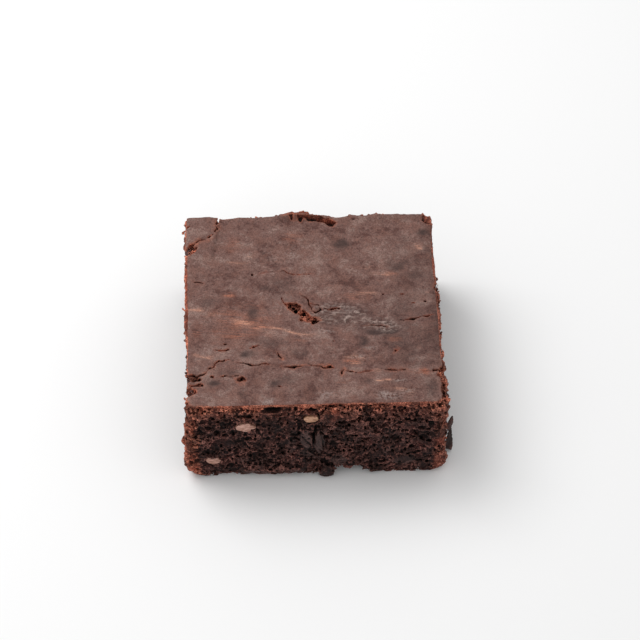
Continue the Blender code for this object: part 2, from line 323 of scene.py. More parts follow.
def spots(*rows: tuple[float, float, float, float, float]) -> tuple[Spot, ...]:
    """Soft round marks, each from a row of its values."""
    return tuple(Spot(*row) for row in rows)


@dataclass(frozen=True)
class Scratch:
    """A thin pale scrape in the crust: its path, its width and its strength."""

    path: tuple[Point, ...]
    width: float
    strength: float


@dataclass(frozen=True)
class Overhang:
    """A stretch of the right or left edge where the crust hangs over: how far, and the spans over which
    it grows on the way to the left and to the right, seen by someone who looks at that side."""

    face: Face
    far: float
    leftward: Span
    rightward: Span

    OUTWARD = (28, 34)

    def at(self, x: Array, y: Array) -> Array:
        """How far the crust hangs over at each place."""
        outward, along = self.face.sign * x, self.face.sign * y
        far = self.far * smooth_step(outward, *self.OUTWARD)
        return far * smooth_step(-along, *self.leftward) * smooth_step(along, *self.rightward)


def path_distance(x: Array, y: Array, path: tuple[Point, ...]) -> tuple[Array, Array]:
    """How far places lie from a path.

    Args:
        x: X of the places.
        y: Y of the places.
        path: The points of the path.

    Returns:
        The distance to the path, and how far along the path the nearest point is, from 0 to 1.
    """
    points = np.array(path, float)
    legs = np.diff(points, axis=0)
    lengths = np.hypot(legs[:, 0], legs[:, 1])
    starts = np.concatenate([[0], np.cumsum(lengths)[:-1]])
    best = np.full(x.shape, np.inf)
    along = np.zeros(x.shape)
    for (px, py), (dx, dy), length, start in zip(points, legs, lengths, starts):
        share = np.clip(((x - px) * dx + (y - py) * dy) / length**2, 0, 1)
        away = np.hypot(x - px - share * dx, y - py - share * dy)
        nearer = away < best
        best = np.where(nearer, away, best)
        along = np.where(nearer, start + share * length, along)
    return best, along / lengths.sum()


def outline_distance(x: Array, y: Array, outline: tuple[Point, ...]) -> Array:
    """How far places lie outside a closed outline.

    Args:
        x: X of the places.
        y: Y of the places.
        outline: The corners of the outline.

    Returns:
        The distance to the outline, less than 0 within it.
    """
    closed = (*outline, outline[0])
    away, _ = path_distance(x, y, closed)
    within = np.zeros(x.shape, bool)
    for (ax, ay), (bx, by) in zip(closed, closed[1:]):
        if ay != by:
            crossing = (y < ay) != (y < by)
            within ^= crossing & (x < ax + (y - ay) * (bx - ax) / (by - ay))
    return np.where(within, -away, away)


@dataclass
class Crust:
    """The papery top crust: its height, where it is missing, and its marks, as maps over X and Y."""

    form: BlockForm
    thickness: float = 0.5
    cracks: tuple[Crack, ...] = (
        Crack(((-39, 22.4), (-35, 23.6), (-32.6, 24.9), (-31.2, 25.9)), 0.9, 1.5, 1.0, 0.6),
        Crack(((-30.0, 26.0), (-29, 27.1), (-27.9, 28.6)), 1.0, 3.2, 1.0, 0.8),
        Crack(((-27.7, 28.9), (-26.9, 30.4), (-26.6, 32.1), (-26.4, 34.5), (-26.2, 39)), 0.9, 4.4, 0.8, 0.4),
        Crack(((-31.4, 25.6), (-29.6, 26.4)), 0.4, 0.8, 1.0, 0.8),
        Crack(((-22.0, -18.9), (-19, -19.7), (-16.4, -20.1), (-11.9, -20.3)), 0.34, 0.9, 0.5),
        Crack(((-9.2, -21.3), (-7.3, -21.5), (-5.7, -22.1), (-2.8, -21.2)), 0.28, 0.8, 0.9, 0.15),
        Crack(((-2.8, -21.2), (-1, -21.4), (1.4, -21.8), (5.5, -22.1)), 0.26, 0.7, 0.8),
        Crack(((7.6, -25.2), (8.8, -22.7)), 0.34, 0.8, 0.9),
        Crack(((9.0, -23.4), (12.3, -23.4), (15.3, -23.3)), 0.3, 0.8, 0.4),
        Crack(((18.6, -23.4), (21.9, -23.7), (24.9, -23.4)), 0.26, 0.7, 0.4),
        Crack(((29.6, -24.0), (33.1, -24), (39, -23.8)), 0.55, 1.3, 1.0),
        Crack(((-22.5, -18.2), (-25, -18), (-27.5, -19.5), (-29.4, -21.6)), 0.34, 0.8, 0.6),
        Crack(((-29.2, -21.8), (-31.3, -23), (-33.6, -23.6), (-39, -24.2)), 0.42, 1.2, 0.7),
        Crack(((14.9, -6.9), (17.4, -6.2), (19.4, -6.6), (21.0, -7.6)), 0.36, 0.9, 0.3),
        Crack(((23.6, -5.4), (26.9, -4.6), (29.8, -4.2), (33.4, -4.0)), 0.3, 0.9, 0.3),
        Crack(((-3.4, 4.5), (-2, 3.3), (-0.9, 1.4), (-0.4, -0.5)), 0.34, 0.9, 0.2),
        Crack(((-0.6, 1.8), (1.6, 1), (2.1, -0.6), (0.9, -1.6), (-0.4, -0.5)), 0.38, 1.0, 0.4),
        Crack(((2.6, 0.3), (5.2, -0.4), (7.9, -0.2)), 0.28, 0.6, 0.2),
        Crack(((-8.3, 4.3), (-8.0, 2.2), (-7.1, 1.2)), 0.26, 0.7, 0.3),
        Crack(((-20.3, -24.6), (-23.0, -24.5), (-25.9, -24.4)), 0.26, 0.6, 0.3),
        Crack(((-15.4, 13.6), (-9.4, 13.9), (-2.2, 13.2), (1.0, 13.0)), 0.14, 0.3, 0.2),
        Crack(((-33.0, 10.9), (-30.4, 9.7)), 0.24, 0.5, 0.3),
        Crack(((-10.1, -16.2), (-9.6, -17.2), (-9.0, -18.6)), 0.3, 0.6, 1.0, 0.2),
        Crack(((-17.5, -14.2), (-14.8, -12.6)), 0.26, 0.5, 0.4),
        Crack(((-27.0, -14.4), (-24.2, -14.5)), 0.3, 0.7, 0.5),
        Crack(((10.6, 34.2), (12.2, 33.6), (14.2, 33.2)), 0.2, 0.5, 0.3),
    )
    tears: tuple[Tear, ...] = (
        Tear(((-7.7, 1.8), (-4.6, 1.5), (-3.0, 0.4), (-4.0, -1.2), (-5.4, -2.4), (-6.6, -0.6)), 1.3, 0.5),
        Tear(((-5.4, -1.2), (-2.6, -1.2), (-0.2, -3.2), (2.2, -4.7), (-0.6, -5.6), (-3.4, -4.0)), 0.8, 0.35),
        Tear(
            (
                (-7.6, 34.7), (-1.8, 33.9), (2.5, 32.8), (6.6, 32.0), (7.6, 32.8), (7.0, 33.9), (2, 34.6),
                (-3, 35.0),
            ),
            1.5,
            1.0,
        ),
        Tear(((-21.8, -25.5), (-19.6, -25.0), (-18.8, -26.5), (-20.9, -27.2)), 1.0),
        Tear(((-39, -24.7), (-31.8, -23.8), (-31.2, -24.8), (-33.4, -25.8), (-39, -26.3)), 1.3, 0.3),
        Tear(((-34.4, -27.0), (-31.6, -26.5), (-31.2, -27.6), (-34.0, -28.2)), 1.2),
        Tear(((-39, -29.0), (-32.6, -28.6), (-33.0, -30.2), (-39, -31.4)), 1.4),
        Tear(((32.9, 33.6), (33.6, 32.4), (34.6, 31.4), (39, 30.6), (39, 39), (34.2, 39)), 0.3, 0.25),
        Tear(((-36.5, -32.6), (-34.2, -33.2), (-33.0, -34.6), (-33, -38), (-38, -38)), 0.3),
        Tear(((-37, 22.2), (-33.8, 21.2), (-32.2, 23.4), (-33.4, 24.0), (-39, 22.4)), 0.2),
        Tear(((34.2, 8.6), (33.7, 7.4), (34.4, 5.2), (39, 5.0), (39, 8.8)), 0.7),
        Tear(((21.6, -15.6), (22.9, -15.2), (23.3, -16.7), (22.4, -17.2)), 0.7),
    )
    pits: tuple[Spot, ...] = spots(
        (-24.2, -14.5, 0.5, 0.35, 0.7), (-24.6, -12.2, 0.35, 0.3, 0.5), (-28.6, -24.5, 0.5, 0.3, 0.6),
        (20.4, 4.8, 0.35, 0.3, 0.6), (31.1, 1.1, 0.45, 0.3, 0.8), (28.0, 1.0, 0.5, 0.3, 0.7),
        (25.1, 3.7, 0.3, 0.25, 0.5), (-17.0, 13.6, 0.4, 0.3, 0.6), (-16.0, -13.4, 0.4, 0.4, 0.6),
        (5.8, -12.6, 0.35, 0.25, 0.5), (-9.6, -28.5, 0.4, 0.3, 0.5), (-34.0, 31.4, 0.5, 0.3, 0.8),
    )
    stains: tuple[Spot, ...] = spots(
        (8.8, 24.4, 3.0, 2.2, 0.8), (24.3, 15.8, 3.6, 2.4, 0.75), (32.6, 28.0, 3.0, 1.5, 0.7),
        (-13.1, 7.4, 1.7, 1.3, 0.7), (-16.6, -1.4, 2.0, 3.2, 0.6), (-29.1, 2.6, 3.4, 2.4, 0.35),
        (-18.3, -16.2, 3.2, 1.6, 0.7), (-3.9, -16.4, 2.6, 2.2, 0.45), (-24.0, -22.8, 3.4, 1.4, 0.5),
        (-27.6, -26.6, 2.4, 1.4, 0.7), (-10.8, -27.4, 2.4, 1.6, 0.45), (-19.6, -30.4, 1.4, 2.6, 0.5),
        (-14.0, -12.5, 6.5, 2.6, 0.35), (-8.5, 8.5, 4.6, 5.0, 0.25), (13.2, -12.6, 2.4, 2.6, 0.6),
        (16.8, -9.4, 2.6, 1.4, 0.7), (21.6, -9.4, 2.4, 1.0, 0.8), (-7.6, -25.6, 5.0, 2.4, 0.25),
        (31.6, -30.0, 2.4, 3.6, 0.45), (29.6, 11.4, 2.6, 2.6, 0.35), (14.5, -27.2, 1.2, 1.4, 0.4),
        (28.0, -9.0, 13.0, 20.0, 0.3), (30.0, 18.0, 9.0, 12.0, 0.2),
    )
    ruddy: tuple[Spot, ...] = spots(
        (-22.9, 5.1, 2.0, 1.1, 0.9), (-18.8, -5.1, 3.8, 1.2, 0.8), (-14.1, -6.7, 3.0, 0.9, 0.6),
        (-21.1, -9.4, 3.0, 0.8, 0.4), (-3.8, -11.8, 3.0, 0.6, 0.4), (-32.5, -8.6, 1.6, 1.4, 0.5),
        (22.4, -12.2, 2.2, 0.9, 1.0), (10.3, -19.8, 3.2, 1.1, 0.9), (8.1, -27.3, 2.4, 0.7, 0.9),
        (28.4, -24.6, 4.4, 1.4, 0.6), (22.1, 12.5, 2.8, 0.9, 0.4), (31.2, 23.0, 1.0, 1.2, 0.5),
        (-5.0, 27.0, 3.4, 3.0, 0.35), (-22.0, 24.0, 3.0, 3.6, 0.3), (12.0, 4.0, 6.0, 2.4, 0.25),
        (-20.0, -5.0, 13.0, 9.0, 0.3),
    )
    pale: tuple[Spot, ...] = spots(
        (19.5, -32.6, 4.5, 1.9, 0.9), (24.6, -30.8, 3.0, 1.0, 0.6), (23.0, -27.4, 2.8, 0.6, 0.7),
        (-13.2, -33.6, 2.4, 1.5, 0.7), (2.8, -32.4, 3.4, 2.2, 0.5), (-27.2, -14.7, 5.0, 1.4, 0.35),
        (-31.0, -4.0, 3.6, 1.2, 0.3), (4.9, 0.9, 3.0, 1.2, 0.6), (9.0, -1.1, 4.4, 1.8, 0.7),
        (3.6, -8.6, 3.4, 0.8, 0.6), (12.5, -18.4, 3.8, 0.9, 0.6), (15.6, -15.4, 3.0, 0.8, 0.5),
        (-9.0, 3.0, 5.0, 5.0, 0.2), (-8.0, 20.0, 9.0, 5.0, 0.2),
    )
    scratches: tuple[Scratch, ...] = (
        Scratch(((-36.0, 0.1), (-29.9, 0.0)), 0.2, 0.8),
        Scratch(((-24.4, -2.7), (-19.4, -4.7), (-14.2, -7.9), (-9.5, -8.7)), 0.28, 0.8),
        Scratch(((-23.6, -4.9), (-17.0, -5.3), (-14.0, -5.8)), 0.3, 0.7),
        Scratch(((-22.7, -6.4), (-16.1, -6.7), (-10.3, -7.2), (-3.7, -9.3), (1.8, -10.2)), 0.2, 0.8),
        Scratch(((-33.8, -16.2), (-29.0, -17.3), (-25.6, -16.6)), 0.18, 0.8),
        Scratch(((-24.4, 18.2), (-16.4, 17.8)), 0.2, 0.4),
        Scratch(((-20.0, 19.6), (-12.0, 20.4)), 0.18, 0.35),
        Scratch(((11.0, -22.7), (18.6, -23.7)), 0.22, 0.5),
        Scratch(((15.2, 12.9), (20.9, 12.4), (22.8, 12.0)), 0.25, 0.8),
        Scratch(((14.9, 14.4), (17.0, 15.2)), 0.25, 0.6),
        Scratch(((11.6, 5.4), (19.9, 4.8)), 0.2, 0.7),
        Scratch(((31.4, 5.0), (35.6, 5.0)), 0.2, 0.6),
        Scratch(((29.4, 24.4), (31.0, 22.0), (32.2, 22.4)), 0.25, 0.7),
        Scratch(((7.4, -18.6), (11.2, -18.0), (13.8, -19.0)), 0.2, 0.9),
        Scratch(((9.6, -20.4), (13.6, -20.2)), 0.2, 0.8),
        Scratch(((16.0, -27.2), (21.4, -27.0)), 0.16, 0.9),
        Scratch(((-0.6, -4.6), (4.6, -4.0)), 0.25, 0.5),
        Scratch(((20.6, -29.0), (23.4, -30.4), (26.8, -32.2)), 0.3, 0.5),
        Scratch(((-30.0, -1.4), (-24.0, -2.0)), 0.16, 0.5),
    )
    # How far the crust stops short of each side, at places along it.
    edge_insets: tuple[tuple[Face, tuple[Point, ...]], ...] = (
        (Face.FRONT, ((-35, 0.3), (-20, 0.05), (35, 0.1))),
        (
            Face.RIGHT,
            ((-35, 1.5), (-30, 1.3), (-26, 1.1), (-23.4, 0.7), (-21.5, 0.1), (5, 0.0), (7, 0.4), (9, 0.0)),
        ),
        (Face.BACK, ((-35, 0.0), (35, 0.0))),
        (
            Face.LEFT,
            ((-35, 0.0), (-29, -0.2), (-20, -0.6), (5, -0.6), (16, 0.0), (26, 0.3), (31, 0.2), (35, 0.0)),
        ),
    )
    # How far the crust rises at the back edge, at places along X.
    back_rise: tuple[Point, ...] = (
        (-37, 0), (-28.5, 0.3), (-26.6, -0.2), (-22, 0.0), (-20, 0.4), (-15, 0.15), (-10.5, 0.6),
        (-8.3, 1.0), (-6, 1.6), (-3.8, 2.0), (-1.5, 1.8), (0.8, 1.4), (3, 1.3), (5.3, 1.1),
        (7.6, 0.25), (10, 0.4), (12.2, 0.9), (14.5, 0.4), (16.8, 0.4), (19, 1.2), (21.3, 0.75),
        (25, 0.85), (28.3, 0.6), (31, 0.6), (33, 0.7), (36, 0.3),
    )
    back_overhang: float = 0.65
    overhangs: tuple[Overhang, ...] = (
        Overhang(Face.RIGHT, 0.8, (8, 16), (-40, -30)),
        Overhang(Face.LEFT, 0.75, (-18, -6), (-30, -22)),
    )
    wrinkled: tuple[Spot, ...] = spots((7.4, -2.6, 10.4, 4.8, 1.3), (17.5, -7.0, 8.0, 3.8, 1.2))
    # How far each bend goes, its size, and its seeds for X and Y.
    bends: tuple[tuple[float, float, int, int], ...] = (
        (0.1, 0.6, 25, 26), (0.18, 1.1, 21, 23), (0.3, 3.4, 22, 24),
    )
    # How high each ripple stands, its size along X and Y, and its seed.
    ripples: tuple[tuple[float, float, float, int], ...] = (
        (0.2, 14.0, 14.0, 53), (0.1, 5.0, 3.4, 54), (0.035, 1.8, 0.8, 55), (0.018, 0.6, 0.45, 56),
    )
    # How far each map lifts the crust.
    reliefs: tuple[tuple[str, float], ...] = (
        ("wrinkle", 0.38), ("wrinkled", -0.14), ("stain", -0.16), ("scratch", -0.05), ("curl", 1.0),
    )
    # How dark the painted shade inside the cracks is.
    crack_shade: float = 0.35
    rim_curl: float = 0.1
    tear_raggedness: float = 0.22
    edge_dig: float = 0.35
    stain_strength: float = 1.2
    scratch_spread: float = 1.9
    edge_rounding: float = 0.45
    right_fall: float = 0.5
    loose_corner_lift: float = 0.8
    maps: dict[str, Array] = field(default_factory=dict)

    # How far away a break counts as where there is none.
    UNBROKEN = 9.0

    def __post_init__(self) -> None:
        """Works out the maps."""
        places = [np.arange(-round(r / PITCH), round(r / PITCH) + 1) * PITCH for r in REACH]
        self.row_x, self.row_y = places
        x, y = np.meshgrid(*places, indexing="ij")
        bend_x = sum(far * self.noise(size, size, seed) for far, size, seed, _ in self.bends)
        bend_y = sum(far * self.noise(size, size, seed) for far, size, _, seed in self.bends)
        self.work_out_missing(x + bend_x, y + bend_y)
        self.add_edges(x, y)
        self.work_out_marks(x, y, x + 0.5 * bend_x, y + 0.5 * bend_y)
        self.work_out_height(x, y)

    def noise(self, size_x: float, size_y: float, seed: int) -> Array:
        """Soft noise over the crust.

        Args:
            size_x: The size of its blobs along X.
            size_y: The size of its blobs along Y.
            seed: What tells this noise from another.

        Returns:
            The noise at each point of the maps.
        """
        return SoftNoise((size_x, size_y, 8.0), seed).on(self.row_x, self.row_y, np.array([14.0]))[:, :, 0]

    @staticmethod
    def spot_mask(x: Array, y: Array, spot: Spot) -> Array:
        """How strongly a soft round mark shows at each place."""
        away = np.hypot((x - spot.x) / spot.reach_x, (y - spot.y) / spot.reach_y)
        return spot.strength * (1 - smooth_step(away, 0.25, 1.25))

    def work_out_missing(self, x: Array, y: Array) -> None:
        """Makes the maps of where the crust is missing, how deep it is there, how torn, and the painted shade
        in its cracks and tears.

        Args:
            x: X of the places, bent a little so that no edge runs straight.
            y: Y of the places, bent likewise.
        """
        there = np.full(x.shape, self.UNBROKEN)
        dig = np.zeros(x.shape)
        torn = np.zeros(x.shape)
        shade = np.zeros(x.shape)
        curl = np.zeros(x.shape)
        ragged = self.noise(0.9, 0.9, 31)
        patchy = np.clip(0.55 + 0.5 * self.noise(1.6, 1.6, 32), 0, 1)
        for crack in self.cracks:
            away, along = path_distance(x, y, crack.path)
            taper = np.sqrt(np.clip(np.minimum(along, 1 - along) * 6, 0, 1))
            half = crack.width / 2 * taper * (1 + crack.gap * ragged)
            there = np.minimum(there, away - half)
            profile = np.clip(1 - away / (crack.width * 0.75), 0, 1) * taper
            dig = np.maximum(dig, crack.depth * profile)
            # Painted shade inside each crack, darkest along its middle.
            dark = 1 - smooth_step(away, half * 0.7, half + 0.22)
            shade = np.maximum(shade, self.crack_shade * dark * np.minimum(taper * 1.5, 1))
            fringe = 1 - smooth_step(away, crack.width * 0.5, crack.width + 0.5 + 0.4 * crack.torn)
            torn = np.maximum(torn, patchy * crack.torn * fringe)
            curl += self.rim_curl * crack.torn * np.exp(-(((away - 1.0) / 0.7) ** 2))
        for tear in self.tears:
            away = outline_distance(x, y, tear.outline) + self.tear_raggedness * ragged
            there = np.minimum(there, away)
            dig = np.maximum(dig, tear.depth * smooth_step(-away, -0.2, 0.9))
            # Painted shade inside the tear.
            shade = np.maximum(shade, tear.shade * smooth_step(-away, 0.0, 0.7))
            fringe = (1 - smooth_step(away, -0.1, 0.75)) * (1 - 0.5 * smooth_step(-away, 0.2, 1.0))
            torn = np.maximum(torn, np.clip(0.4 + patchy, 0, 1) * fringe)
        for pit in self.pits:
            away = (np.hypot((x - pit.x) / pit.reach_x, (y - pit.y) / pit.reach_y) - 1) * pit.reach_y
            there = np.minimum(there, away)
            dig = np.maximum(dig, pit.strength * smooth_step(-away, -0.2, 0.3))
        self.maps.update(there=there, dig=dig, torn=torn, shade=shade, curl=curl)

    def add_edges(self, x: Array, y: Array) -> None:
        """Lets the crust stop a little short of the cut sides, by an uneven margin.

        Args:
            x: X of the places.
            y: Y of the places.
        """
        ragged = 0.5 * self.noise(0.7, 0.7, 33) + 0.5 * self.noise(2.4, 2.4, 34)
        patchy = np.clip(0.7 + 0.6 * self.noise(2.0, 2.0, 35), 0.15, 1.2)
        for face, insets in self.edge_insets:
            from_edge = self.form.half - face.sign * (x, y)[face.axis]
            along = x * face.right[0] + y * face.right[1]
            inset = np.interp(along, *np.array(insets).T)
            away = from_edge - inset - ragged * (0.1 + 0.4 * inset)
            self.maps["there"] = np.minimum(self.maps["there"], away)
            near = np.clip(0.35 + inset, 0.2, 1) * patchy * (1 - smooth_step(away, -0.1, 0.5))
            self.maps["torn"] = np.maximum(self.maps["torn"], near)
            self.maps["dig"] = np.maximum(self.maps["dig"], self.edge_dig * smooth_step(-away, 0, 1.2))

    def work_out_marks(self, x: Array, y: Array, bent_x: Array, bent_y: Array) -> None:
        """Makes the maps of the stains, the ruddy patches, the scratches and the wrinkles, with a painted
        highlight on the wrinkle crests and painted shade between them.

        Args:
            x: X of the places.
            y: Y of the places.
            bent_x: X of the places, bent for the scratches.
            bent_y: Y of the places, bent likewise.
        """
        uneven = 1 + 0.3 * self.noise(1.6, 1.2, 41)
        stain = self.stain_strength * sum(self.spot_mask(x, y, spot) for spot in self.stains)
        ruddy = sum(self.spot_mask(x, y, spot) for spot in self.ruddy)
        pale = sum(self.spot_mask(x, y, spot) for spot in self.pale)
        scratch = np.zeros(x.shape)
        broken = np.clip(0.7 + 0.5 * self.noise(1.5, 1.5, 42), 0, 1)
        for mark in self.scratches:
            away, along = path_distance(bent_x, bent_y, mark.path)
            fade = np.clip(np.minimum(along, 1 - along) * 5, 0, 1) * broken
            line = np.exp(-((away / (self.scratch_spread * mark.width)) ** 2))
            scratch = np.maximum(scratch, mark.strength * fade * line)
        area = np.max([self.spot_mask(x, y, spot) for spot in self.wrinkled], axis=0)
        crest = np.exp(-((self.noise(1.5, 0.6, 43) / 0.24) ** 2))
        crest = np.maximum(crest, 0.7 * np.exp(-((self.noise(0.9, 0.45, 44) / 0.26) ** 2)))
        crest *= np.clip(0.8 + 0.45 * self.noise(2.4, 1.3, 45), 0, 1)
        # The stain map holds the real stains and the painted shade between the wrinkle crests.
        self.maps.update(
            stain=np.clip(stain * uneven + 0.5 * np.minimum(area, 1) * (1 - crest), 0, 1),
            ruddy=np.clip(ruddy * uneven, 0, 1),
            pale=np.clip(pale * uneven, 0, 1),
            scratch=scratch,
            wrinkle=np.minimum(area, 1) * crest,
            wrinkled=np.minimum(area, 1),
        )

    def work_out_height(self, x: Array, y: Array) -> None:
        """Makes the map of the crust's height, and under it the map of the crumb's.

        Args:
            x: X of the places.
            y: Y of the places.
        """
        from_edge = self.form.half - np.maximum(np.abs(x), np.abs(y))
        rounding = self.edge_rounding * (1 - smooth_step(from_edge, -0.2, 1.4)) ** 2
        right_fall = self.right_fall * (1 - smooth_step(self.form.half - x, -0.2, 3.0))
        right_fall = right_fall * smooth_step(y, -24, -18) * smooth_step(-y, -32, -28)
        rise = np.interp(x, *np.array(self.back_rise).T)
        rise *= smooth_step(y, 33.0 - 0.6 * np.clip(np.abs(x - 1) - 7, 0, 2), 35.0)
        corner = self.loose_corner_lift * smooth_step(-x - 25.5 + (y - 30) * 0.15, 0, 1.5)
        corner = corner * smooth_step(y - 22 + 0.62 * (x + 35), 0, 2.5)
        height = self.form.height
        for high, size_x, size_y, seed in self.ripples:
            height = height + high * self.noise(size_x, size_y, seed)
        for name, high in self.reliefs:
            height = height + high * self.maps[name]
        height = height + rise + corner * smooth_step(self.maps["there"], -2, 0.5) - rounding - right_fall
        bulge = self.back_overhang * np.interp(x, *np.array(self.back_rise).T) * (y > 0)
        for overhang in self.overhangs:
            bulge = bulge + overhang.at(x, y)
        self.maps["bulge"] = bulge
        self.maps["height"] = height
        self.maps["crumb"] = height - self.thickness - self.maps["dig"]

    def part(self, name: str, box: Box) -> Array:
        """One map over a box of lattice points, ready to spread out over their heights."""
        start = [first + round(reach / PITCH) for first, reach in zip(box.first, REACH)]
        size = [last - first + 1 for first, last in zip(box.first, box.last)]
        found = self.maps[name][start[0] : start[0] + size[0], start[1] : start[1] + size[1]]
        return found[:, :, None].astype(np.float32)

    def at(self, name: str, points: Array) -> Array:
        """One map at any points, blended between its own.

        Args:
            name: The name of the map.
            points: The points, one a row.

        Returns:
            The value of the map at each point.
        """
        spot = [(points[:, k] + REACH[k]) / PITCH for k in range(2)]
        base = [np.clip(np.floor(s).astype(int), 0, self.maps[name].shape[k] - 2) for k, s in enumerate(spot)]
        share = [np.clip(s - b, 0, 1) for s, b in zip(spot, base)]
        found = np.zeros(len(points))
        for i in (0, 1):
            for j in (0, 1):
                weight = np.abs(1 - i - share[0]) * np.abs(1 - j - share[1])
                found += weight * self.maps[name][base[0] + i, base[1] + j]
        return found


@dataclass(frozen=True)
class Hollow:
    """An air pocket that shows in a side: where, its length, its thickness and its depth."""

    face: Face
    along: float
    height: float
    length: float
    thickness: float
    depth: float


@dataclass(frozen=True)
class Fudge:
    """A fudgy place on the front: its middle, its reach along X and up, how far it swells, and how
    smooth it is from 0 to 1."""

    along: float
    height: float
    reach_along: float
    reach_up: float
    swell: float
    smooth: float = 1.0


@dataclass(frozen=True)
class Pores:
    """A kind of pore: its smallest and largest radius, how many there are on each square millimetre of
    a side, and how shallow and how deep their middles lie."""

    smallest: float
    largest: float
    density: float
    shallow: float
    deep: float


@dataclass(frozen=True)
class Scrap:
    """A scrap of crumb that stands out from a side: its middle and its radius."""

    x: float
    y: float
    z: float
    radius: float


@dataclass
class Crumb:
    """The torn crumb: the cut walls, the pores of many sizes and the smooth fudgy places."""

    form: BlockForm
    crust: Crust
    hollows: tuple[Hollow, ...] = (
        Hollow(Face.FRONT, -11.9, 26.6, 4.7, 3.2, 4.4),
        Hollow(Face.FRONT, -0.9, 26.3, 3.2, 2.0, 3.6),
        Hollow(Face.FRONT, -25.5, 13.5, 6.6, 4.2, 1.8),
        Hollow(Face.FRONT, -30.7, 22.3, 3.4, 2.3, 1.5),
        Hollow(Face.FRONT, -23.0, 22.8, 6.2, 1.3, 1.2),
        Hollow(Face.FRONT, -0.2, 18.2, 0.9, 2.8, 1.8),
        Hollow(Face.FRONT, -0.7, 15.4, 0.8, 4.6, 1.8),
        Hollow(Face.FRONT, 4.9, 12.4, 2.8, 3.4, 1.7),
        Hollow(Face.FRONT, 7.0, 21.8, 4.4, 2.6, 1.8),
        Hollow(Face.FRONT, 26.2, 23.6, 4.4, 1.6, 2.0),
        Hollow(Face.FRONT, 31.4, 20.0, 1.8, 3.2, 1.6),
        Hollow(Face.FRONT, 22.0, 14.2, 4.2, 1.4, 1.3),
        Hollow(Face.RIGHT, -24.0, 22.5, 4.6, 2.4, 2.4),
        Hollow(Face.RIGHT, 2.0, 24.6, 3.4, 2.0, 2.4),
        Hollow(Face.RIGHT, 8.0, 10.0, 5.2, 2.6, 2.0),
        Hollow(Face.RIGHT, 27.0, 15.0, 3.2, 4.0, 2.0),
        Hollow(Face.BACK, -26.0, 24.0, 4.2, 2.0, 2.4),
        Hollow(Face.BACK, -4.0, 21.0, 5.4, 2.4, 2.2),
        Hollow(Face.BACK, 18.0, 23.5, 3.4, 2.2, 2.6),
        Hollow(Face.BACK, 25.0, 9.0, 4.4, 3.0, 1.8),
        Hollow(Face.LEFT, -25.0, 18.0, 4.6, 2.8, 2.0),
        Hollow(Face.LEFT, -4.0, 24.4, 4.4, 2.0, 2.4),
        Hollow(Face.LEFT, 4.0, 8.0, 5.0, 2.8, 2.0),
        Hollow(Face.LEFT, 24.0, 12.0, 3.6, 3.4, 2.2),
    )
    fudges: tuple[Fudge, ...] = (
        Fudge(-2.7, 14.8, 1.9, 3.9, 0.6, 1.0),
        Fudge(0.8, 14.0, 1.7, 4.6, 0.8, 1.0),
        Fudge(-1.4, 9.4, 3.4, 1.9, 0.4, 0.7),
        Fudge(-6.6, 12.6, 1.6, 2.6, 0.3, 0.6),
        Fudge(6.2, 6.6, 2.5, 2.2, 0.6, 0.95),
        Fudge(-17.0, 1.6, 4.6, 1.6, 0.1, 0.9),
        Fudge(-5.6, 2.2, 2.6, 1.3, 0.2, 0.8),
        Fudge(2.9, 1.2, 2.4, 4.2, 1.5, 0.1),
        Fudge(-20.0, 7.6, 2.4, 0.9, 0.3, 0.4),
        Fudge(20.0, 9.4, 1.6, 1.0, 0.4, 0.6),
        Fudge(24.0, 5.2, 3.4, 1.4, 0.2, 0.7),
    )
    pore_seed: int = 71
    pores: tuple[Pores, ...] = (
        Pores(0.24, 0.42, 3.6, -0.1, 0.55),
        Pores(0.38, 0.72, 0.75, -0.05, 0.7),
        Pores(0.70, 1.20, 0.045, 0.1, 1.0),
        Pores(0.30, 0.55, 1.2, 0.6, 1.7),
    )
    gap_round_nut: float = 0.05
    scraps: tuple[Scrap, ...] = (
        Scrap(-35.6, 31.2, 27.9, 0.6),
        Scrap(-35.2, -0.1, 16.6, 0.6),
        Scrap(-36.0, -32.8, 12.0, 0.45),
        Scrap(36.3, -31.4, 1.6, 0.45),
    )
    sound_walls: tuple[tuple[Span, Span], ...] = (
        ((-11.0, 12.0), (30.5, 39.0)),
        ((30.5, 39.0), (29.0, 39.0)),
    )
    growth: float = 0.25
    fold_root: Point = (2.4, 6.4)
    folds: int = 15
    fold_depth: float = 0.8
    chip: tuple[Point, ...] = (
        (4.8, -2), (4.9, 1.6), (5.3, 2.5), (7.6, 2.9), (9.8, 2.6), (11.2, 3.1), (12.0, 1.8), (13.4, 1.0),
        (15.4, 0.5), (17.5, -2),
    )
    chip_depth: float = 4.0
    chip_raggedness: float = 0.6
    unevenness: float = 0.22
    # How rough each grain is, its size and seed, and how strong it is all over and below the crust.
    grains: tuple[tuple[float, Triple, int, tuple[float, float]], ...] = (
        (0.2, (2.4, 2.4, 1.8), 62, (0, 1)),
        (0.19, (0.9, 0.9, 0.75), 63, (0.55, 0.45)),
        (0.17, (0.42, 0.42, 0.42), 64, (1, 0)),
    )
    top_pore_trials: int = 26000
    top_pore_radii: Span = (0.26, 0.5)
    hollow_lobes: int = 7
    darkest_depth: float = 3.6

    def __post_init__(self) -> None:
        """Draws the pores of all sides, then those of the torn places of the crust."""
        draw = np.random.default_rng(self.pore_seed)
        parts = [self.wall_pores(face, draw) for face in WALLS]
        parts.append(self.top_pores(draw))
        parts.append(self.hollow_pores(draw))
        self.centres = np.concatenate([part[0] for part in parts])
        self.radii = np.concatenate([part[1] for part in parts])

    @staticmethod
    def nuts() -> list[tuple[Face, Array, Array]]:
        """The face, middle and half size of each nut piece, in millimetres."""
        found = []
        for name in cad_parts:
            if name.startswith("nut_"):
                low, high = (np.array(corner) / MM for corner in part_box(name))
                found.append((Face[name.split("_")[1].upper()], (low + high) / 2, (high - low) / 2))
        return found

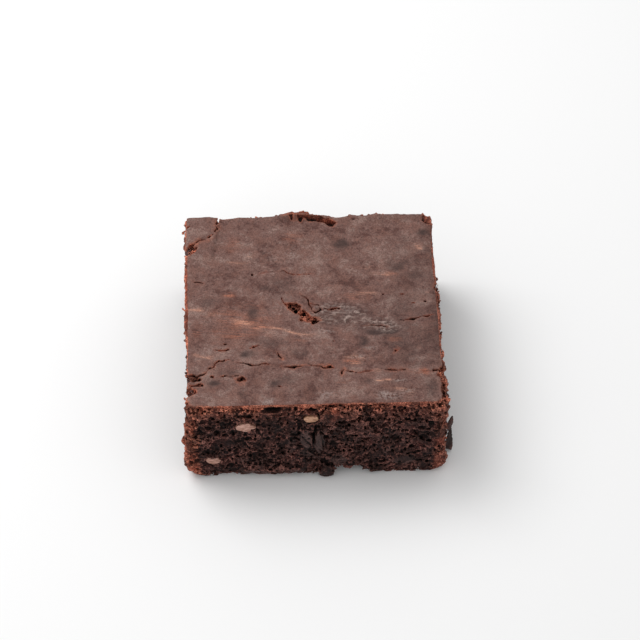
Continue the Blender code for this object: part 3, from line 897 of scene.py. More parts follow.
    def sound(self, points: Array) -> Array:
        """Which points lie where the wall behind a tear is thin, and so has no pores."""
        x, y, z = points.T
        near = [(x > a) & (x < b) & (y > c) & (y < d) for (a, b), (c, d) in self.sound_walls]
        return np.any(near, axis=0) & (z > self.form.height - 5)

    def wall_pores(self, face: Face, draw: np.random.Generator) -> tuple[Array, Array]:
        """Pores in a thin layer behind one side, finer and closer under the crust.

        Args:
            face: The side.
            draw: What the random numbers come from.

        Returns:
            The middles of the pores and their three radii.
        """
        centres, radii = [], []
        outward = np.array(face.value, float)
        for kind in self.pores:
            count = round(kind.density * 2 * self.form.half * self.form.height)
            along = draw.uniform(-self.form.half, self.form.half, count)
            height = draw.uniform(0.4, self.form.height - 0.3, count)
            depth = draw.uniform(kind.shallow, kind.deep, count)
            radius = kind.smallest + (kind.largest - kind.smallest) * draw.beta(1.2, 2.0, count)
            near_crust = smooth_step(height, self.form.height - 3.2, self.form.height - 1.2)
            near_corner = smooth_step(np.abs(along), self.form.half - 2.5, self.form.half)
            radius = radius * (1 - 0.25 * near_crust) * (1 - 0.4 * near_corner)
            depth -= self.growth if face is Face.FRONT else 0
            middle = self.form.surface(face, along, height) - np.outer(depth, outward)
            stretch = np.exp(draw.normal(0, 0.22, (count, 3)))
            stretch += np.abs(face.right) * draw.uniform(0.0, 0.6, count)[:, None]
            keep = draw.uniform(0, 1, count) > 0.93 * self.smoothness(middle)
            keep &= (radius < 0.6) | (near_crust < 0.5)
            keep &= (depth < 0.5) | (np.abs(along) < self.form.half - 2.2)
            keep &= ~self.sound(middle)
            centres.append(middle[keep])
            radii.append((radius[:, None] * stretch)[keep])
        return np.concatenate(centres), np.concatenate(radii)

    def top_pores(self, draw: np.random.Generator) -> tuple[Array, Array]:
        """Pores in the crumb that shows where the crust is cracked, torn or missing.

        Args:
            draw: What the random numbers come from.

        Returns:
            The middles of the pores and their three radii.
        """
        middle = draw.uniform(-self.form.half, self.form.half, (self.top_pore_trials, 3))
        keep = (self.crust.at("there", middle) < 0.35) & (middle[:, 1] < 30.5)
        middle = middle[keep]
        depth = draw.uniform(0.0, 1.6, len(middle))
        middle[:, 2] = self.crust.at("crumb", middle) - depth
        radius = draw.uniform(*self.top_pore_radii, len(middle))
        return middle, radius[:, None] * np.exp(draw.normal(0, 0.2, (len(middle), 3)))

    def pocket(self, hollow: Hollow) -> tuple[Array, Array]:
        """The middle of an air pocket and how far it reaches each way."""
        size = np.abs(np.array(hollow.face.value) * hollow.depth + hollow.face.right * hollow.length / 2)
        size[2] = hollow.thickness / 2
        return self.form.surface(hollow.face, np.array([hollow.along]), np.array([hollow.height]))[0], size

    def darkness(self, points: Array) -> Array:
        """How dark it is at each point from 0 to 1, as little light falls into the deeper air pockets."""
        dark = np.zeros(len(points))
        for hollow in self.hollows:
            middle, size = self.pocket(hollow)
            away = np.linalg.norm((points - middle) / size, axis=1)
            strength = np.clip(hollow.depth / self.darkest_depth, 0, 1) ** 2
            dark = np.maximum(dark, strength * (1 - smooth_step(away, 0.85, 1.3)))
        return dark

    def hollow_pores(self, draw: np.random.Generator) -> tuple[Array, Array]:
        """Each named hollow as one large pore with a few smaller ones in its wall.

        Args:
            draw: What the random numbers come from.

        Returns:
            The middles of the pores and their three radii.
        """
        centres, radii = [], []
        for hollow in self.hollows:
            middle, size = self.pocket(hollow)
            centres.append(middle[None])
            radii.append(size[None])
            turns = draw.normal(0, 1, (self.hollow_lobes, 3))
            turns /= np.linalg.norm(turns, axis=1, keepdims=True)
            centres.append(middle + turns * size * 0.8)
            radii.append(size * draw.uniform(0.22, 0.42, (self.hollow_lobes, 1)))
        return np.concatenate(centres), np.concatenate(radii)

    def smoothness(self, points: Array) -> Array:
        """How fudgy the crumb is at each point, from 0 for open crumb to 1 for smooth."""
        front = smooth_step(-points[:, 1], self.form.half - 4, self.form.half - 2)
        return front * self.fudge_at(points[:, 0], points[:, 2])[0]

    def fudge_at(self, x: Array, z: Array) -> tuple[Array, Array]:
        """The smooth places of the front.

        Args:
            x: X of the places on the front.
            z: Their height.

        Returns:
            How smooth it is there from 0 to 1, and how far it swells.
        """
        smooth = np.zeros(np.broadcast(x, z).shape)
        swell = np.zeros_like(smooth)
        for fudge in self.fudges:
            away = np.hypot((x - fudge.along) / fudge.reach_along, (z - fudge.height) / fudge.reach_up)
            smooth = np.maximum(smooth, fudge.smooth * (1 - smooth_step(away, 0.7, 1.15)))
            swell = np.maximum(swell, fudge.swell * np.sqrt(np.clip(1 - away**2, 0, 1)))
        return smooth, swell

    def nut_beds(self, solid: Array, x: Array, y: Array, z: Array) -> None:
        """Opens the crumb round each nut piece by a narrow gap.

        Args:
            solid: The field, changed in place.
            x: X of its points, and likewise y and z, shaped so that they spread out.
            y: Y of its points.
            z: Z of its points.
        """
        for face, middle, half in self.nuts():
            size = half + self.gap_round_nut
            parts = [(p - m) / s for p, m, s in zip((x, y, z), middle, size)]
            parts[face.axis] = np.minimum(parts[face.axis] * face.sign, 0)
            near = face.sign * ((x, y, z)[face.axis] - middle[face.axis]) < 4
            away = np.sqrt(sum(part**2 for part in parts))
            np.maximum(solid, np.where(near, (1 - away) * float(size.min()), solid), out=solid)

    def carve(self, solid: Array, box: Box) -> None:
        """Takes every pore that reaches into a box out of its field.

        Args:
            solid: The field, changed in place.
            box: The box that the field covers.
        """
        rows = [box.places(axis).astype(np.float32) for axis in range(3)]
        margin = 2 * PITCH
        low = np.floor((self.centres - self.radii - margin) / PITCH).astype(int) - box.first
        high = np.ceil((self.centres + self.radii + margin) / PITCH).astype(int) - box.first + 1
        meets = np.all((high > 0) & (low < solid.shape), axis=1)
        low = np.maximum(low, 0)
        for n in np.flatnonzero(meets):
            (i, j, k), (ii, jj, kk) = low[n], high[n]
            cx, cy, cz = self.centres[n]
            rx, ry, rz = self.radii[n]
            away = (
                (((rows[0][i:ii] - cx) / rx) ** 2)[:, None, None]
                + (((rows[1][j:jj] - cy) / ry) ** 2)[None, :, None]
                + (((rows[2][k:kk] - cz) / rz) ** 2)[None, None, :]
            )
            np.sqrt(away, out=away)
            part = solid[i:ii, j:jj, k:kk]
            np.maximum(part, (1 - away) * min(rx, ry, rz), out=part)

    def field(self, box: Box) -> Array:
        """The distance outside the brownie's surface, less than 0 in the food.

        Args:
            box: The lattice points at which to take it.

        Returns:
            The field, with one value for each point.
        """
        x, y, z = box.grid()
        rows = [box.places(axis) for axis in range(3)]
        wall = self.form.wall_distance(x, y, z)
        wall = wall - self.unevenness * SoftNoise((9.0, 9.0, 9.0), 61).on(*rows) * smooth_step(z, 0, 4)
        wall = wall - self.crust.part("bulge", box) * smooth_step(z, self.form.height - 3.0, self.form.height)
        height = self.crust.part("height", box)
        under_crust = smooth_step(height - z, 0.4, 2.6)
        foot = 0.25 + 0.75 * smooth_step(z, 0, 2.5)
        rough = sum(
            high * SoftNoise(size, seed).on(*rows) * (all_over + below * under_crust)
            for high, size, seed, (all_over, below) in self.grains
        )
        fudge, swell = self.fudge_at(x, z)
        front = smooth_step(-y, self.form.half - 5, self.form.half - 2)
        calm = 1 - 0.75 * fudge * front
        grown = self.growth * front * smooth_step(height - z, 0.2, 3.0)
        turn = np.arctan2(z - self.fold_root[1], x - self.fold_root[0]) * self.folds
        groove = self.fold_depth * np.exp(-((np.sin(turn + 0.25 * x) / 0.5) ** 2)) * fudge * (swell < 0.7)
        crumb = np.maximum(wall - (swell - groove) * front - grown, z - self.crust.part("crumb", box))
        crumb = crumb + rough * foot * calm
        crumb = np.ascontiguousarray(crumb, dtype=np.float32)
        self.carve(crumb, box)
        across, up = np.meshgrid(rows[0], rows[2], indexing="ij")
        chip = outline_distance(across, up, self.chip)[:, None, :] + self.chip_raggedness * rough
        np.maximum(crumb, -np.maximum(chip, y + self.form.half - self.chip_depth), out=crumb)
        for scrap in self.scraps:
            away = np.sqrt((x - scrap.x) ** 2 + (y - scrap.y) ** 2 + (z - scrap.z) ** 2)
            np.minimum(crumb, away - scrap.radius + rough, out=crumb)
        self.nut_beds(crumb, x, y, z)
        paper = np.maximum(wall - 0.05, z - height)
        paper = np.maximum(paper, height - self.crust.thickness - 0.15 - z)
        paper = np.maximum(paper, -0.8 * self.crust.part("there", box))
        return np.maximum(np.minimum(crumb, paper), -z)

    def owner(self, points: Array) -> Array:
        """Which face each point belongs to, so that every bit of surface is in one piece.

        Args:
            points: The points, one a row.

        Returns:
            For each point, the place of its face in the order of Face.
        """
        x, y, z = points.T
        half = self.form.half_width(z)
        under = -z - 1.6
        return np.argmax([-y - half, x - half, y - half, -x - half, z - self.form.height, under], axis=0)


CELL_CORNERS = np.array([(i, j, k) for i in (0, 1) for j in (0, 1) for k in (0, 1)])
CELL_EDGES = [
    (a, b) for a in range(8) for b in range(a + 1, 8) if np.abs(CELL_CORNERS[a] - CELL_CORNERS[b]).sum() == 1
]


def share_of_air(inside: Array, reach: int) -> Array:
    """How much of the room round each lattice point is air, from 0 in the food to 1 in the open.

    Args:
        inside: Where the lattice points are in the food.
        reach: How many points the room reaches each way.

    Returns:
        The share at each point.
    """
    width = 2 * reach + 1
    sums = np.pad(inside.astype(np.float32), [(reach + 1, reach)] * 3, mode="edge")
    for axis in range(3):
        sums = np.cumsum(sums, axis=axis, dtype=np.float64)
        size = sums.shape[axis]
        sums = np.take(sums, range(width, size), axis) - np.take(sums, range(size - width), axis)
    return (1 - sums / width**3).astype(np.float32)


def in_scene(name: str, data: bpy.types.ID) -> bpy.types.Object:
    """A new object in the scene, round a mesh, camera or lamp."""
    made = bpy.data.objects.new(name, data)
    bpy.context.scene.collection.objects.link(made)
    return made


def give_value(piece: bpy.types.Object, label: str, values: Array) -> None:
    """Writes a named value from 0 to 1 on each point of a piece, for its material to read."""
    layer = piece.data.attributes.new(label, "FLOAT", "POINT")
    layer.data.foreach_set("value", np.clip(values, 0, 1).astype(np.float32))


def mesh_object(name: str, points: Array, faces: Array) -> bpy.types.Object:
    """Makes a smooth shaded object.

    Args:
        name: Its name.
        points: Its points in millimetres, one a row.
        faces: The numbers of each face's points, one face a row.

    Returns:
        The object, in the scene.
    """
    made = bpy.data.meshes.new(name)
    made.vertices.add(len(points))
    made.vertices.foreach_set("co", (points * MM).astype(np.float32).ravel())
    made.loops.add(faces.size)
    made.loops.foreach_set("vertex_index", faces.astype(np.int32).ravel())
    made.polygons.add(len(faces))
    made.polygons.foreach_set("loop_start", np.arange(0, faces.size, faces.shape[1], dtype=np.int32))
    made.update(calc_edges=True)
    made.shade_smooth()
    return in_scene(name, made)


def shape_of(obj: bpy.types.Object) -> tuple[Array, Array]:
    """The points and triangles of an object with its modifiers, which is then removed.

    Args:
        obj: The object.

    Returns:
        The points in millimetres, and the numbers of each triangle's points.
    """
    bpy.context.view_layer.update()
    found = obj.evaluated_get(bpy.context.evaluated_depsgraph_get()).to_mesh()
    found.calc_loop_triangles()
    points = np.empty(len(found.vertices) * 3, np.float32)
    found.vertices.foreach_get("co", points)
    triangles = np.empty(len(found.loop_triangles) * 3, np.int32)
    found.loop_triangles.foreach_get("vertices", triangles)
    bpy.data.objects.remove(obj)
    return points.reshape(-1, 3).astype(float) / MM, triangles.reshape(-1, 3)


@dataclass
class Net:
    """The surface where a field passes through 0, as points with faces between them."""

    points: Array
    faces: Array

    @classmethod
    def over(cls, solid: Array, box: Box, owned: Callable[[Array], Array]) -> "Net":
        """Draws the net of one piece.

        Args:
            solid: The field.
            box: The box that it covers.
            owned: What tells which bits of surface, by their places, belong to the piece.

        Returns:
            The net.
        """
        inside = solid < 0
        a, b, c = (size - 1 for size in inside.shape)
        count = sum(inside[i : a + i, j : b + j, k : c + k].astype(np.int8) for i, j, k in CELL_CORNERS)
        cells = np.argwhere((count > 0) & (count < 8))
        number = np.full(count.shape, -1, np.int64)
        number[tuple(cells.T)] = np.arange(len(cells))
        values = np.stack([solid[tuple((cells + corner).T)] for corner in CELL_CORNERS], 1)
        total = np.zeros((len(cells), 3))
        crossings = np.zeros(len(cells))
        for a, b in CELL_EDGES:
            va, vb = values[:, a], values[:, b]
            cut = (va < 0) != (vb < 0)
            share = np.where(cut, va / np.where(cut, va - vb, 1), 0)
            place = CELL_CORNERS[a] + share[:, None] * (CELL_CORNERS[b] - CELL_CORNERS[a])
            total += place * cut[:, None]
            crossings += cut
        points = (cells + total / crossings[:, None] + box.first) * PITCH
        faces = np.concatenate([cls.across(inside, number, box, axis, owned) for axis in range(3)])
        used, faces = np.unique(faces, return_inverse=True)
        return cls(points[used], faces.reshape(-1, 4))

    @staticmethod
    def across(inside: Array, number: Array, box: Box, axis: int, owned: Callable[[Array], Array]) -> Array:
        """The faces that lie across one axis, each round a lattice edge that leaves the food.

        Args:
            inside: Where the lattice points are in the food.
            number: The number of each cell's point.
            box: The box of the lattice.
            axis: The number of the axis.
            owned: What tells which faces, by their places, belong to the piece.

        Returns:
            The numbers of each face's four points, in order round it, seen from the air.
        """
        here = np.take(inside, range(inside.shape[axis] - 1), axis)
        there = np.take(inside, range(1, inside.shape[axis]), axis)
        edges = np.argwhere(here != there)
        second, third = (axis + 1) % 3, (axis + 2) % 3
        for other in (second, third):
            edges = edges[(edges[:, other] > 0) & (edges[:, other] < inside.shape[other] - 1)]
        middle = edges.astype(float)
        middle[:, axis] += 0.5
        edges = edges[owned((middle + box.first) * PITCH)]
        corners = []
        for back_second, back_third in ((1, 1), (0, 1), (0, 0), (1, 0)):
            cell = edges.copy()
            cell[:, second] -= back_second
            cell[:, third] -= back_third
            corners.append(number[tuple(cell.T)])
        faces = np.stack(corners, 1)
        arrives = ~inside[tuple(edges.T)]
        faces[arrives] = faces[arrives][:, ::-1]
        return faces

    def border(self) -> Array:
        """The numbers of the points at the edge of the net."""
        sides = np.sort(np.stack([self.faces, np.roll(self.faces, -1, 1)], 2).reshape(-1, 2), 1)
        ends, uses = np.unique(sides[:, 0] * len(self.points) + sides[:, 1], return_counts=True)
        lone = ends[uses == 1]
        return np.union1d(lone // len(self.points), lone % len(self.points))

    def attached(self) -> "Net":
        """The same net less its closed bits, which are crumbs in mid air or bubbles inside the food."""
        label = np.arange(len(self.points))
        before = np.zeros_like(label)
        while not np.array_equal(label, before):
            before = label.copy()
            lowest = label[self.faces].min(1)
            for corner in self.faces.T:
                np.minimum.at(label, corner, lowest)
            label = label[label]
        open_bits = np.isin(label, label[self.border()])
        used, faces = np.unique(self.faces[open_bits[self.faces[:, 0]]], return_inverse=True)
        return Net(self.points[used], faces.reshape(-1, 4))

    def thinned(self, most: int) -> "Net":
        """The same net with fewer triangles, where it has too many, and with its border as it was.

        Args:
            most: How many triangles it may have.

        Returns:
            The thinner net.
        """
        triangles = 2 * len(self.faces)
        if triangles <= most:
            return self
        rough = mesh_object("rough", self.points, self.faces)
        free = rough.vertex_groups.new(name="free")
        free.add(np.setdiff1d(np.arange(len(self.points)), self.border()).tolist(), 1.0, "REPLACE")
        fewer = rough.modifiers.new("fewer", "DECIMATE")
        fewer.ratio = most / triangles
        fewer.vertex_group = free.name
        return Net(*shape_of(rough))


@dataclass
class Brownie:
    """The brownie itself, in one piece for each cut side, the crust and the underside."""

    form: BlockForm = field(default_factory=BlockForm)
    wall_reach: float = 9.0
    top_reach: float = 6.6
    under_reach: float = 2.6
    most_triangles: tuple[tuple[Face, int], ...] = (
        (Face.FRONT, 190_000),
        (Face.RIGHT, 150_000),
        (Face.BACK, 150_000),
        (Face.LEFT, 150_000),
        (Face.TOP, 190_000),
        (Face.UNDER, 30_000),
    )

    def __post_init__(self) -> None:
        """Makes the crust and the crumb that the pieces are cut from."""
        self.crust = Crust(self.form)
        self.crumb = Crumb(self.form, self.crust)

    def box_for(self, face: Face) -> Box:
        """The lattice box that holds a face's share of the surface."""
        low = [-REACH[0], -REACH[1], FLOOR_LEVEL]
        high = [REACH[0], REACH[1], CEILING_LEVEL]
        if face is Face.TOP:
            low[2] = self.form.height - self.top_reach
        elif face is Face.UNDER:
            high[2] = self.under_reach
        elif face.sign > 0:
            low[face.axis] = self.form.half - self.wall_reach
        else:
            high[face.axis] = self.wall_reach - self.form.half
        return Box.around(tuple(low), tuple(high))

    def values_at(self, points: Array, inside: Array, box: Box) -> dict[str, Array]:
        """What the materials read at each point of a piece.

        Args:
            points: The points.
            inside: Where the lattice points round them are in the food.
            box: The box of the lattice.

        Returns:
            The named values, from 0 to 1.
        """
        x, y, z = points.T
        crust = {name: self.crust.at(name, points) for name in self.crust.maps}
        below = crust["height"] - z
        paper = smooth_step(crust["there"], -0.05, 0.2)
        paper *= 1 - smooth_step(below, self.crust.thickness * 0.35, self.crust.thickness * 0.8)
        corner = np.abs(x) + np.abs(y) - 2 * self.form.half
        depth_of_rim = 2.6 + 0.4 * np.sin(0.37 * x + 0.9) + 0.3 * np.sin(0.91 * (x + y))
        under_crust = 1 - smooth_step(below, 0.5 * depth_of_rim, 1.1 * depth_of_rim)
        under_crust = np.maximum(under_crust, 0.3 * (1 - smooth_step(below, depth_of_rim, 9.0)))
        # Real browning at the vertical corners, strongest at the front-left, where it is painted light from
        # the left.
        corner_browning_and_left_light = 0.45 + 0.5 * smooth_step(-x, 0, 20) * smooth_step(-y, 0, 20)
        corner_browning_and_left_light = corner_browning_and_left_light * smooth_step(corner, -3.0, -0.8)
        torn = crust["torn"] * (1 - smooth_step(below, 0.8, 2.6)) * (1 - 0.6 * crust["shade"])
        nearest = tuple((np.rint(points / PITCH).astype(int) - box.first).T)
        return {
            "bare": 1 - paper,
            # How open each point is, for painted light on ridges and painted shade in pores.
            "pore": share_of_air(inside, 2)[nearest],
            # Painted shade in the larger hollows and the deep air pockets.
            "hollow": share_of_air(inside, 6)[nearest] * (1 - 0.75 * self.crumb.darkness(points)),
            "rim": np.maximum(np.maximum(under_crust * (0.9 - 0.005 * x), corner_browning_and_left_light), torn),
            "fudge": self.crumb.smoothness(points),
        } | {name: crust[name] for name in ("torn", "shade", "stain", "ruddy", "pale", "scratch", "wrinkle")}

    def build(self, face: Face) -> bpy.types.Object:
        """Builds one piece of the brownie.

        Args:
            face: Its face.

        Returns:
            The object of the piece.
        """
        box = self.box_for(face)
        solid = self.crumb.field(box)
        place = list(Face).index(face)
        net = Net.over(solid, box, lambda points: self.crumb.owner(points) == place)
        net = net.attached().thinned(dict(self.most_triangles)[face])
        name = "crust" if face is Face.TOP else f"crumb_{face.name.lower()}"
        obj = mesh_object(name, net.points, net.faces)
        for label, values in self.values_at(net.points, solid < 0, box).items():
            give_value(obj, label, values)
        return obj


class Graph:
    """A node tree in the making, with short ways to add its nodes and to join them."""

    def __init__(self, tree: bpy.types.NodeTree) -> None:
        """Keeps the tree, emptied."""
        self.tree = tree
        tree.nodes.clear()

    def add(self, kind: str, inputs: dict[str | int, Any] | None = None, **settings: Any) -> bpy.types.Node:
        """Adds a node.

        Args:
            kind: Its kind, without the words ShaderNode.
            inputs: What its inputs get, each a socket to join or a value to set.
            settings: Its own settings.

        Returns:
            The node.
        """
        node = self.tree.nodes.new(kind if kind.startswith("NodeGroup") else f"ShaderNode{kind}")
        for name, value in settings.items():
            setattr(node, name, value)
        for name, value in (inputs or {}).items():
            if isinstance(value, Socket):
                self.tree.links.new(value, node.inputs[name])
            else:
                node.inputs[name].default_value = value
        return node

    def reading(self, name: str) -> Socket:
        """A named value of the mesh."""
        return self.add("Attribute", attribute_name=name).outputs["Fac"]

    def place(self, stretch: Triple = (1, 1, 1), turn: float = 0.0) -> Socket:
        """The place on the object in millimetres, turned about Z, then squeezed along each axis."""
        at = self.add("TexCoord").outputs["Object"]
        at = self.add("VectorRotate", {"Vector": at, "Angle": turn}, rotation_type="Z_AXIS").outputs[0]
        factors = tuple(part / MM for part in stretch)
        return self.add("VectorMath", {0: at, 1: factors}, operation="MULTIPLY").outputs[0]

    def noise(self, place: Socket, size: float, detail: float = 2.0, bend: float = 0.0) -> Socket:
        """Soft noise.

        Args:
            place: Where to take it.
            size: The size of its blobs in millimetres.
            detail: How many finer noises lie on it.
            bend: How far it is distorted.

        Returns:
            The noise, mostly between 0.3 and 0.7.
        """
        inputs = {"Vector": place, "Scale": 1 / size, "Detail": detail, "Distortion": bend}
        return self.add("TexNoise", inputs).outputs["Fac"]

    def maths(self, operation: str, first: Any, second: Any) -> Socket:
        """The result of a difference, ratio or the like of two values."""
        return self.add("Math", {0: first, 1: second}, operation=operation).outputs[0]

    def plus(self, first: Any, second: Any) -> Socket:
        """The sum of two values."""
        return self.maths("ADD", first, second)

    def times(self, first: Any, second: Any) -> Socket:
        """The product of two values."""
        return self.maths("MULTIPLY", first, second)

    def ramp(self, value: Any, low: float, high: float, start: float = 0.0, end: float = 1.0) -> Socket:
        """An even change from one number to another while a value goes from low to high.

        Args:
            value: The value.
            low: Where the change starts.
            high: Where it ends.
            start: The number before it.
            end: The number after it.

        Returns:
            The number.
        """
        inputs = {"Value": value, "From Min": low, "From Max": high, "To Min": start, "To Max": end}
        return self.add("MapRange", inputs, interpolation_type="SMOOTHSTEP").outputs["Result"]

    def blend(self, share: Any, under: Any, over: Any) -> Socket:
        """One colour over another, by a share from 0 to 1."""
        return self.add("Mix", {0: share, 6: under, 7: over}, data_type="RGBA").outputs[2]

    def shaded(self, colour: Any, factor: Any) -> Socket:
        """A colour made lighter or darker by a factor."""
        return self.add("VectorMath", {0: colour, "Scale": factor}, operation="SCALE").outputs[0]

    def use(self, group: bpy.types.NodeTree, inputs: dict[str, Any]) -> bpy.types.Node:
        """Adds a group as a node."""
        return self.add("Group", inputs, node_tree=group)

    def use_crumb(self, group: bpy.types.NodeTree) -> list[Socket]:
        """Adds the torn crumb, by the values of the mesh: its colour, roughness and height."""
        look = self.use(group, {name.capitalize(): self.reading(name) for name in CRUMB_VALUES})
        return [look.outputs[name] for name in ("Colour", "Roughness", "Height")]


def effect(
    name: str, inputs: dict[str, float], outputs: dict[str, str]
) -> tuple[Graph, dict[str, Socket], bpy.types.Node]:
    """Starts a node group that several finishes use.

    Args:
        name: The name of the group.
        inputs: The names of its inputs, each with its usual number.
        outputs: The names of its outputs, each with its kind.

    Returns:
        The graph in the group, its inputs by name, and the node that takes its outputs.
    """
    tree = bpy.data.node_groups.new(name, "ShaderNodeTree")
    graph = Graph(tree)
    for label, usual in inputs.items():
        tree.interface.new_socket(label, in_out="INPUT", socket_type="NodeSocketFloat").default_value = usual
    for label, kind in outputs.items():
        tree.interface.new_socket(label, in_out="OUTPUT", socket_type=f"NodeSocket{kind}")
    entry, leave = graph.add("NodeGroupInput"), graph.add("NodeGroupOutput")
    return graph, {label: entry.outputs[label] for label in inputs}, leave


def finish_with(graph: Graph, colour: Any, roughness: Any, height: Any, relief: float, gloss: float) -> None:
    """Ends a material with its shader.

    Args:
        graph: The graph of the material.
        colour: Its colour.
        roughness: Its roughness.
        height: The height of its fine relief, from 0 to 1.
        relief: How high that relief is, in millimetres.
        gloss: How strongly it mirrors, where 0.5 is usual.
    """
    bump = graph.add("Bump", {"Height": height, "Distance": relief * MM})
    inputs = {"Base Color": colour, "Roughness": roughness, "Specular IOR Level": gloss}
    shader = graph.add("BsdfPrincipled", inputs | {"Normal": bump.outputs[0]})
    graph.add("OutputMaterial", {"Surface": shader.outputs[0]})


def new_material(name: str) -> tuple[bpy.types.Material, Graph]:
    """An empty material and the graph in it."""
    made = bpy.data.materials.new(name)
    made.use_nodes = True
    return made, Graph(made.node_tree)


@dataclass(frozen=True)
class FoodGrain:
    """The finest grain, which all of the food has."""

    size: float = 0.3

    def group(self) -> bpy.types.NodeTree:
        """Builds the effect: a value for colour and a height for relief, both from 0 to 1."""
        graph, given, leave = effect("food grain", {"Size": self.size}, {"Value": "Float", "Height": "Float"})
        at = graph.place()
        scale = graph.maths("DIVIDE", 1.0, given["Size"])
        fine = graph.add("TexNoise", {"Vector": at, "Scale": scale, "Detail": 3.0, "Roughness": 0.6})
        grit = graph.add("TexVoronoi", {"Vector": at, "Scale": graph.times(scale, 0.8)})
        value = graph.ramp(fine.outputs["Fac"], 0.3, 0.7)
        graph.tree.links.new(value, leave.inputs["Value"])
        rounded = graph.ramp(grit.outputs["Distance"], 0.0, 0.9, 1.0, 0.0)
        height = graph.plus(graph.times(rounded, 0.4), graph.times(fine.outputs["Fac"], 0.6))
        graph.tree.links.new(height, leave.inputs["Height"])
        return graph.tree


@dataclass(frozen=True)
class TornCrumb:
    """Torn chocolate crumb, ruddy under the crust, with painted light on its exposed webs and painted shade
    in its pores.
    """

    grain: bpy.types.NodeTree
    # The painted shade in pores and in the grooves of the fudgy places.
    deep: Colour = linear(6, 2, 1)
    body: Colour = linear(46, 25, 22)
    ruddy_body: Colour = linear(56, 23, 19)
    grey_body: Colour = linear(40, 28, 28)
    lit_web: Colour = linear(104, 68, 61)
    rim_pore_shade: Colour = linear(30, 8, 4)
    rim: Colour = linear(122, 62, 46)
    lit_rim_web: Colour = linear(172, 106, 84)
    fudge: Colour = linear(64, 46, 43)
    grain_size: float = 0.26
    patch_size: float = 3.4
    lump_size: float = 0.7
    speck_size: float = 0.3
    rim_patch_size: float = 1.3
    broad_size: float = 4.5
    damp_size: float = 0.4
    relief: float = 0.16
    gloss: float = 0.2

    def group(self) -> bpy.types.NodeTree:
        """Builds the effect that this finish shares with the torn places of the crust."""
        inputs = {name.capitalize(): 0.5 for name in CRUMB_VALUES}
        outputs = {"Colour": "Color", "Roughness": "Float", "Height": "Float"}
        graph, given, leave = effect("torn crumb", inputs, outputs)
        at = graph.place()
        grain = graph.use(self.grain, {"Size": self.grain_size})
        patches = graph.noise(at, self.patch_size, 3.0, 0.4)
        lumps = graph.noise(at, self.lump_size, 3.0, 0.6)
        specks = graph.noise(at, self.speck_size, 2.0)
        body = graph.blend(graph.ramp(patches, 0.42, 0.6), self.grey_body, self.ruddy_body)
        body = graph.blend(graph.ramp(lumps, 0.38, 0.62), self.body, body)
        speckled = graph.ramp(specks, 0.36, 0.6, 0.25, 1.0)
        # Painted light on exposed ridges and painted shade in pores, by how open each point is.
        ridge_light = graph.times(graph.ramp(given["Pore"], 0.5, 0.74), speckled)
        pore_shade = graph.ramp(given["Pore"], 0.26, 0.52, 1.0, 0.0)
        colour = graph.blend(ridge_light, graph.blend(pore_shade, body, self.deep), self.lit_web)
        rim_colour = graph.blend(ridge_light, graph.blend(pore_shade, self.rim, self.rim_pore_shade), self.lit_rim_web)
        uneven = graph.ramp(graph.noise(at, self.rim_patch_size, 3.0), 0.32, 0.5, 0.65, 1.0)
        colour = graph.blend(graph.times(given["Rim"], uneven), colour, rim_colour)
        # Painted shade in the grooves of the fudgy places.
        smooth_colour = graph.blend(graph.ramp(given["Pore"], 0.34, 0.52, 1.0, 0.0), self.fudge, self.deep)
        colour = graph.blend(graph.times(given["Fudge"], 0.85), colour, smooth_colour)
        colour = graph.shaded(colour, graph.ramp(specks, 0.34, 0.66, 0.45, 1.6))
        # Painted shade in the larger hollows and the deep air pockets.
        colour = graph.shaded(colour, graph.ramp(given["Hollow"], 0.2, 0.46, 0.12, 1.0))
        broad = graph.ramp(graph.noise(at, self.broad_size, 2.0, 0.5), 0.37, 0.6, 0.42, 1.36)
        colour = graph.shaded(colour, graph.maths("MAXIMUM", broad, graph.times(given["Fudge"], 0.95)))
        graph.tree.links.new(colour, leave.inputs["Colour"])
        damp = graph.ramp(graph.noise(at, self.damp_size, 1.0), 0.6, 0.66)
        damp = graph.times(graph.maths("MAXIMUM", damp, given["Fudge"]), 0.34)
        graph.tree.links.new(graph.maths("SUBTRACT", 0.8, damp), leave.inputs["Roughness"])
        calm = graph.times(graph.ramp(given["Fudge"], 0.0, 1.0, 1.0, 0.3), 0.5)
        height = graph.times(graph.plus(grain.outputs["Height"], lumps), calm)
        graph.tree.links.new(height, leave.inputs["Height"])
        return graph.tree

    def material(self, group: bpy.types.NodeTree) -> bpy.types.Material:
        """Builds the material of the cut sides and the underside."""
        made, graph = new_material("torn crumb")
        finish_with(graph, *graph.use_crumb(group), self.relief, self.gloss)
        return made


